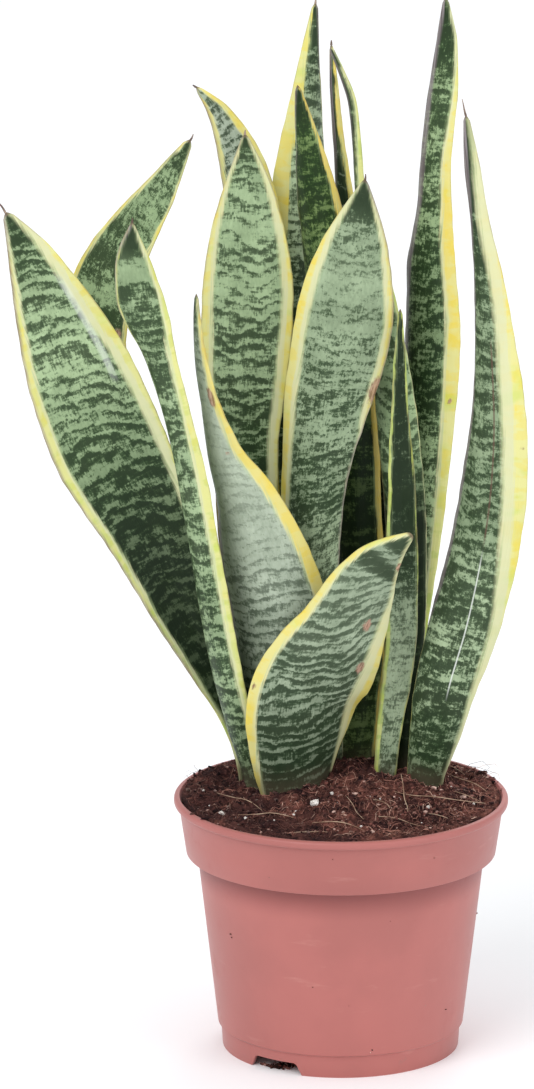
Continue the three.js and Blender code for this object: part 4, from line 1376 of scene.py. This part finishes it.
    def foot_faces(self, columns, size):
        """Strips that close the foot between the two sides."""
        faces = [(0, size - 1, 1)]
        for place in range(1, columns - 2):
            faces.append((place, size - place, size - place - 1, place + 1))
        faces.append((columns - 2, columns, columns - 1))
        return faces

    def paint(self, piece, across):
        """Writes what the leaf's finish needs at each point of the surface."""
        style = LEAVES[self.name]
        along = self.along[:, None] / MM
        share = self.along / self.along[-1]
        half = self.half[:, None] / MM
        seen = -across if self.turned else across
        left, right = (table(style.margins, share, column) for column in (1, 2))
        sheen_left, sheen_right = (table(style.bloom, share, column) for column in (1, 2))
        cover, ground, ink = (table(style.bars, share, column) for column in (1, 2, 3))
        phase = (along - table(style.slope, share, 1) * seen * half) / style.bands
        arch = 1.3 * np.cos(seen * 2.2 + self.order) * (half / 16)
        scar = np.zeros(across.shape)
        for leaf, place, side, long, wide in SCARS:
            if leaf == self.name:
                spot = ((along - place) / long) ** 2 + ((seen - side) * half / wide) ** 2
                scar = np.maximum(scar, np.exp(-spot))
        # For each crease: the distance from it, and the strength of its painted glint, or below 0 how dry it
        # is.
        crease, fold = np.full(across.shape, FAR_FROM_CREASE), np.zeros(along.shape)
        for index, (start, stop, side, width, kind) in enumerate(CREASES.get(self.name, ())):
            crease = np.where((along >= start) | (index == 0), (seen - side) * half / width, crease)
            fold += kind * between_ends(along, start, stop, CREASE_ENDS)
        numbers = dict(
            across=seen * half, along=along, seed=17.3 * self.order, woven=phase * style.bands,
            rim=np.minimum(half * (1 + seen) - left, half * (1 - seen) - right),
            phase=phase + arch * 0.35, cover=cover, ground=ground, ink=ink, fold=fold,
            ochre=np.interp(share, np.linspace(0, 1, len(style.ochre)), style.ochre)[:, None],
            slate=style.slate, scar=scar, edge=half * (1 - np.abs(across)), grain=style.grain,
            to_tip=along[-1] - along, cream=np.where(seen < 0, *style.cream),
            bloom=np.where(seen < 0, sheen_left, sheen_right), crease=crease)
        for name, parts in BLADE_NUMBERS.items():
            values = [np.broadcast_to(numbers[part], across.shape).reshape(-1) for part in parts]
            values = np.stack(values, axis=1)
            values = np.concatenate([values, values[-1:]])
            layer = piece.data.attributes.new(name, "FLOAT_VECTOR", "POINT")
            layer.data.foreach_set("vector", values.astype(np.float32).reshape(-1))


def leaf_noises(finish, place, weave):
    """The noises behind a leaf's colours, stretched by their factors across and along the blade. Those on
    the weave follow the crossbands."""
    return SimpleNamespace(
        cloud=finish.noise(place, (0.085, 0.05, 1)),
        teeth=finish.noise(weave, (1.25, 0.17, 1), 3, 0.65),
        marks=finish.noise(weave, (0.21, 0.62, 1), 4, 0.62, (5, 8, 1)),
        tuft=finish.noise(place, (0.9, 0.35, 1), 3, 0.6),
        specks=finish.noise(weave, (0.8, 0.48, 1), 4, 0.68),
        patch=finish.noise(weave, (0.17, 0.12, 1), 3, 0.6, (11, 5, 2)),
        swell=finish.noise(weave, (0.015, 0.085, 1), shift=(3, 2, 7)),
        bend=finish.noise(place, (0.01, 0.035, 1), 1, shift=(1, 3, 4)),
        dust=finish.noise(weave, (2.6, 1.9, 1), 2, 0.6),
        streaks=finish.noise(place, (1.5, 0.03, 1), 3, 0.6),
        blotch=finish.noise(place, (0.1, 0.07, 1), 3, 0.55),
        seam=finish.noise(place, (0.1, 0.2, 1), 3, 0.5, (7, 2, 9)),
        patchy=finish.noise(place, (0.05, 0.09, 1), shift=(40, 9, 3)))


def crossbands(at, noises):
    """Where the crossbands and their dark cores are: a bent and ragged wave up the leaf, broken into
    blotches and specks."""
    wave = at.phase + noises.cloud.swing(2.2) + noises.bend.swing(3) + noises.teeth.swing(0.7)
    wave = wave.math("FRACT")
    wave = wave.at_most((1 - wave) * 4)
    level = (
        (wave - 0.42) * (0.95 - at.grain * 0.45) + noises.marks.swing(1.7 - at.grain * 0.45)
        + noises.specks.swing(at.grain * 0.95) + noises.teeth.swing(0.45) + noises.patch.swing(0.7)
        + noises.swell.swing(0.6) + noises.dust.swing(at.grain * 0.4))
    start = (0.5 - at.cover) * 0.8
    return level.step(start - 0.19, start + 0.1), level.step(start, start + 0.26)


def leaf_green(finish, leaf, at, noises):
    """The green of the blade, light between the crossbands and nearly black on them."""
    band, core = crossbands(at, noises)
    light = finish.coats(
        leaf.fresh, (at.slate.at_least(0), leaf.slate), ((-at.slate).at_least(0), LEAF_TINTS.moss))
    night = finish.coats(
        leaf.band,
        (at.ground.step(0.1, 0.8), LEAF_TINTS.bottle),
        (noises.patchy.step(0.4, 0.7) * 0.4, LEAF_TINTS.dark_olive))
    # The ground's lightness also holds painted light and painted shade along the leaf.
    shade = at.ground * (0.86 - noises.blotch.step(0.3, 0.7) * 0.2 - noises.tuft.swing(0.45))
    return finish.coats(
        night, (shade, light), (band * at.ink * 0.86, night), (core * at.ink * 0.62, leaf.band))


def leaf_yellow(finish, leaf, at, noises, border):
    """The yellow of the margins: lemon with deeper blotches and a paler inner part."""
    deep = noises.blotch.step(0.46, 0.66) * 0.6 + noises.seam.step(0.5, 0.58) * 0.45
    deep = (deep + (at.ochre - 0.1) * 0.7).at_most(1).at_least(0)
    lime = (-at.ochre).at_least(0) * (0.6 + noises.seam.step(0.46, 0.56) * 1.3)
    spots = (noises.patchy.step(0.56, 0.72) * (0.55 - at.ochre)).at_least(0)
    inner = (border + at.cream).step(-0.6, 0.9) * (at.cream * 2).at_most(1)
    return finish.coats(
        leaf.pale,
        (deep, leaf.ochre),
        (at.ochre.at_least(0) * 0.55, LEAF_TINTS.amber),
        (lime, LEAF_TINTS.lime),
        (spots, LEAF_TINTS.lime_spot),
        (inner * 0.72, LEAF_TINTS.cream))


def leaf_finish(leaf):
    """Green and yellow that run into each other in streaks, with a painted sheen at the seen edges,
    creases that carry a painted glint or a dry brown line, scars, dry tip and stained foot."""
    finish = Finish("leaf_skin")
    at, vectors = SimpleNamespace(), {}
    for name, parts in BLADE_NUMBERS.items():
        vectors[name], numbers = finish.attribute(name)
        vars(at).update(zip(parts, numbers))
    place, weave = vectors["blade_place"], vectors["blade_weave"]
    noises = leaf_noises(finish, place, weave)
    streaks = noises.streaks

    border = at.rim + streaks.swing(2.6) + noises.teeth.swing(1.2) + noises.patch.swing(1.2)
    soft = 0.4 + at.cream * 0.2
    green = border.step(-soft, soft)
    near = 1 - border.size().step(0.1, 1.8)
    # Painted sheen: a purple-grey tint along the seen edges where a leaf turns away.
    sheen_mask = (1 - (at.edge - at.bloom + streaks.swing(1.5)).step(-1, 0.9)) * at.bloom.step(0, 0.6)
    line = 1 - at.crease.size().step(0.3, 1)
    hurt = (at.scar + noises.specks.swing(0.6)).step(0.32, 0.6)
    skin = finish.coats(
        leaf_yellow(finish, leaf, at, noises, border),
        (green, leaf_green(finish, leaf, at, noises)),
        (near * streaks.step(0.46, 0.62) * 0.45, LEAF_TINTS.between),
        (sheen_mask * 0.75, finish.mix(streaks.step(0.4, 0.6), *SHEEN_TONES)),
        ((1 - at.edge.step(0.1, 0.55)) * noises.patchy.step(0.35, 0.6) * 0.4, LEAF_TINTS.rind),
        # A painted glint along the bright creases, and a dry brown line along the others.
        (line * at.fold.at_least(0) * (0.55 + streaks * 0.6), LEAF_TINTS.crease_glint),
        (line * (-at.fold).at_least(0) * 0.7, LEAF_TINTS.dry_crease),
        (hurt * 0.85, finish.mix(noises.teeth.step(0.4, 0.6), *SCAR_TONES)),
        ((1 - at.to_tip.step(0.2, 1.6)) * 0.8, LEAF_TINTS.dry_tip),
        ((1 - (at.along + noises.blotch.swing(14)).step(16, 30)) * 0.55, LEAF_TINTS.soiled))

    relief = finish.bump(finish.noise(place, (2.6, 0.035, 1)), 0.2 * MM, 0.5)
    relief = finish.bump(finish.noise(place, (3.2, 2.4, 1)), 0.05 * MM, 0.5, relief)
    relief = finish.bump(hurt, 0.3 * MM, 0.7, relief)
    rough = 0.38 + (1 - green) * 0.06 + noises.cloud * 0.1 + hurt * 0.3
    finish.set(Base_Color=skin, Roughness=rough, Normal=relief, Specular_IOR_Level=0.14)
    return finish.material


class PLANT_OT_leaves(bpy.types.Operator):
    """Gives every leaf its fine blade in place of its plain solid."""
    bl_idname = "plant.leaves"
    bl_label = "Leaves"

    def execute(self, context):
        leaf = context.scene.plant_leaf
        finish = leaf_finish(leaf)
        for order, name in enumerate(LEAVES):
            blade = Blade(name, order + 1, leaf)
            finish_piece(blade.build(), finish, "leaf", name)
        return {"FINISHED"}


# Dry spines at the tips: steps in mm from the tip, as x and z.
SPINES = {
    "leaf_left_broad": ((0, 0), (-1, 2), (-2.5, 4), (-3.8, 4.4), (-3.2, 2.8)),
    "leaf_right_bowed": ((0, 0), (-0.6, 2), (-1, 4.5), (-1.6, 7)),
    "leaf_right_tall": ((0, 0), (0, 1.5), (0.2, 3)),
    "leaf_left_hooked": ((0, 0), (0.8, 1.2), (1.2, 2.6)),
    "leaf_left_narrow": ((0, 0), (0.2, 1), (0.2, 2)),
    "leaf_centre_upright": ((0, 0), (0, 1), (0.2, 2)),
    "leaf_centre_broad": ((0, 0), (0.3, 1.2), (0.2, 2.5)),
    "leaf_back_tall": ((0, 0), (0, 1), (0.2, 2.2)),
    "leaf_back_left": ((0, 0), (-0.8, 0.6), (-1.4, 1)),
    "leaf_back_thin": ((0, 0), (0, 1), (0, 2)),
}
SPINE = SimpleNamespace(thickness=0.42 * MM, sink=0.4 * MM, foot=1.25, point=0.1)
SPINE_TONES = ((0.10, 0.06, 0.045), (0.34, 0.25, 0.19))
BARK_TONES = ((0.42, 0.21, 0.06), (0.72, 0.45, 0.16))


class PLANT_OT_spines(bpy.types.Operator):
    """Adds the small dry spines at the tips of the leaves."""
    bl_idname = "plant.spines"
    bl_label = "Tip spines"

    def execute(self, context):
        spines = []
        for name, steps in SPINES.items():
            _, tip = blade_rings(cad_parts[name])
            root = Vector(tip) - Vector((0, 0, SPINE.sink))
            piece = thread([root + Vector((x, 0, z)) * MM for x, z in steps], SPINE.thickness)
            knots = piece.data.splines[0].points
            for place, knot in enumerate(knots):
                knot.radius = SPINE.foot * (1 - place / len(knots)) + SPINE.point
            piece.data.bevel_resolution = 1
            spines.append(piece)
        piece = threads_to_mesh(spines, "tip_spines")
        select_only([piece])
        bpy.ops.object.shade_smooth()
        finish_piece(piece, fibre_finish("dry_spine", *SPINE_TONES), "leaf")
        return {"FINISHED"}


class PLANT_OT_rootstock(bpy.types.Operator):
    """Gives the underground stem its bark."""
    bl_idname = "plant.rootstock"
    bl_label = "Rootstock"

    def execute(self, context):
        finish = Finish("rootstock_bark")
        rings = finish.noise(finish.place(), (260, 60, 60), 4)
        finish.set(Base_Color=finish.mix(rings.step(0.35, 0.65), *BARK_TONES), Roughness=0.75,
                   Normal=finish.bump(rings, 0.4 * MM, 0.6))
        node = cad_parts["rhizome"]
        node.data.materials.clear()
        node.data.materials.append(finish.material)
        return {"FINISHED"}


# ---------------------------------------------------------------- stage

CAMERA_PLACE = Vector((-31, -3200, 1068)) * MM
CAMERA_PITCH = 14.9
SENSOR_HEIGHT = 36
VIEW_END = 50
FLOOR_SIZE = 16

# Lamps: the name, its share of the key light's power, its diameter and its place in metres.
LAMPS = (
    ("key_light", 1, 2.1, (-1.4, -1.9, 2.3)),
    ("fill_light", 0.42, 2.0, (2.3, -1.5, 1.2)),
    ("back_light", 0.35, 1.4, (0.6, 2.2, 2.2)),
)
LAMPS_AIM = Vector((AXIS.x, AXIS.y, 0.2))
SKY = SimpleNamespace(colour=(0.96, 0.98, 1, 1), strength=0.82)


class PLANT_OT_stage(bpy.types.Operator):
    """Sets the pale floor, the soft lights and the camera."""
    bl_idname = "plant.stage"
    bl_label = "Stage"

    def execute(self, context):
        stage = context.scene.plant_stage
        self.floor(stage)
        self.lights(stage)
        self.camera(context, stage)
        context.scene.view_settings.view_transform = "Standard"
        return {"FINISHED"}

    def floor(self, stage):
        clear_selection()
        bpy.ops.mesh.primitive_plane_add(size=FLOOR_SIZE, location=AXIS)
        floor = bpy.context.object
        floor.name = "floor"
        settle(floor)
        finish = Finish("pale_floor")
        cloud = finish.noise(finish.place(), 3, 2)
        white = Vector(stage.floor)
        finish.set(Base_Color=finish.mix(cloud, white * 0.995, white), Roughness=0.8, Specular_IOR_Level=0.1)
        floor.data.materials.append(finish.material)

    def lights(self, stage):
        for name, share, size, place in LAMPS:
            clear_selection()
            bpy.ops.object.light_add(type="AREA", location=place)
            lamp = bpy.context.object
            lamp.name = name
            lamp.data.energy = stage.key * share
            lamp.data.shape = "DISK"
            lamp.data.size = size
            aim = LAMPS_AIM - lamp.location
            lamp.rotation_euler = aim.to_track_quat("-Z", "Y").to_euler()
        world = bpy.data.worlds.new("studio")
        world.use_nodes = True
        sky = world.node_tree.nodes["Background"]
        sky.inputs["Color"].default_value = SKY.colour
        sky.inputs["Strength"].default_value = SKY.strength
        bpy.context.scene.world = world

    def camera(self, context, stage):
        clear_selection()
        tilt = math.radians(90 - CAMERA_PITCH)
        bpy.ops.object.camera_add(location=AXIS + CAMERA_PLACE, rotation=(tilt, 0, 0))
        camera = context.object
        camera.name = "camera"
        camera.data.lens = stage.lens
        camera.data.sensor_fit = "VERTICAL"
        camera.data.sensor_height = SENSOR_HEIGHT
        camera.data.clip_end = VIEW_END
        context.scene.camera = camera


# ---------------------------------------------------------------- panel and registration

class PLANT_PT_panel(bpy.types.Panel):
    """Lists the pieces of the plant and their sizes and colours."""
    bl_label = "Snake plant"
    bl_idname = "PLANT_PT_panel"
    bl_space_type = "VIEW_3D"
    bl_region_type = "UI"
    bl_category = "Plant"

    def draw(self, context):
        for operator, group in STEPS:
            box = self.layout.box()
            box.operator(operator.bl_idname)
            if group:
                settings = getattr(context.scene, group)
                for name in settings.bl_rna.properties.keys():
                    if name not in ("rna_type", "name"):
                        box.prop(settings, name)


GROUPS = {
    "plant_pot": PotSettings,
    "plant_peat": PeatSettings,
    "plant_leaf": LeafSettings,
    "plant_stage": StageSettings,
}

STEPS = (
    (PLANT_OT_pot, "plant_pot"),
    (PLANT_OT_peat, "plant_peat"),
    (PLANT_OT_crumbs, None),
    (PLANT_OT_grains, None),
    (PLANT_OT_fibres, None),
    (PLANT_OT_leaves, "plant_leaf"),
    (PLANT_OT_spines, None),
    (PLANT_OT_rootstock, None),
    (PLANT_OT_stage, "plant_stage"),
)


def register():
    for group in GROUPS.values():
        bpy.utils.register_class(group)
    for operator, _ in STEPS:
        bpy.utils.register_class(operator)
    bpy.utils.register_class(PLANT_PT_panel)
    for name, group in GROUPS.items():
        setattr(bpy.types.Scene, name, bpy.props.PointerProperty(type=group))


def unregister():
    for name in GROUPS:
        delattr(bpy.types.Scene, name)
    bpy.utils.unregister_class(PLANT_PT_panel)
    for operator, _ in reversed(STEPS):
        bpy.utils.unregister_class(operator)
    for group in GROUPS.values():
        bpy.utils.unregister_class(group)


def main():
    register()
    for operator, _ in STEPS:
        getattr(bpy.ops.plant, operator.bl_idname.split(".")[1])()


if __name__ == "__main__":
    main()
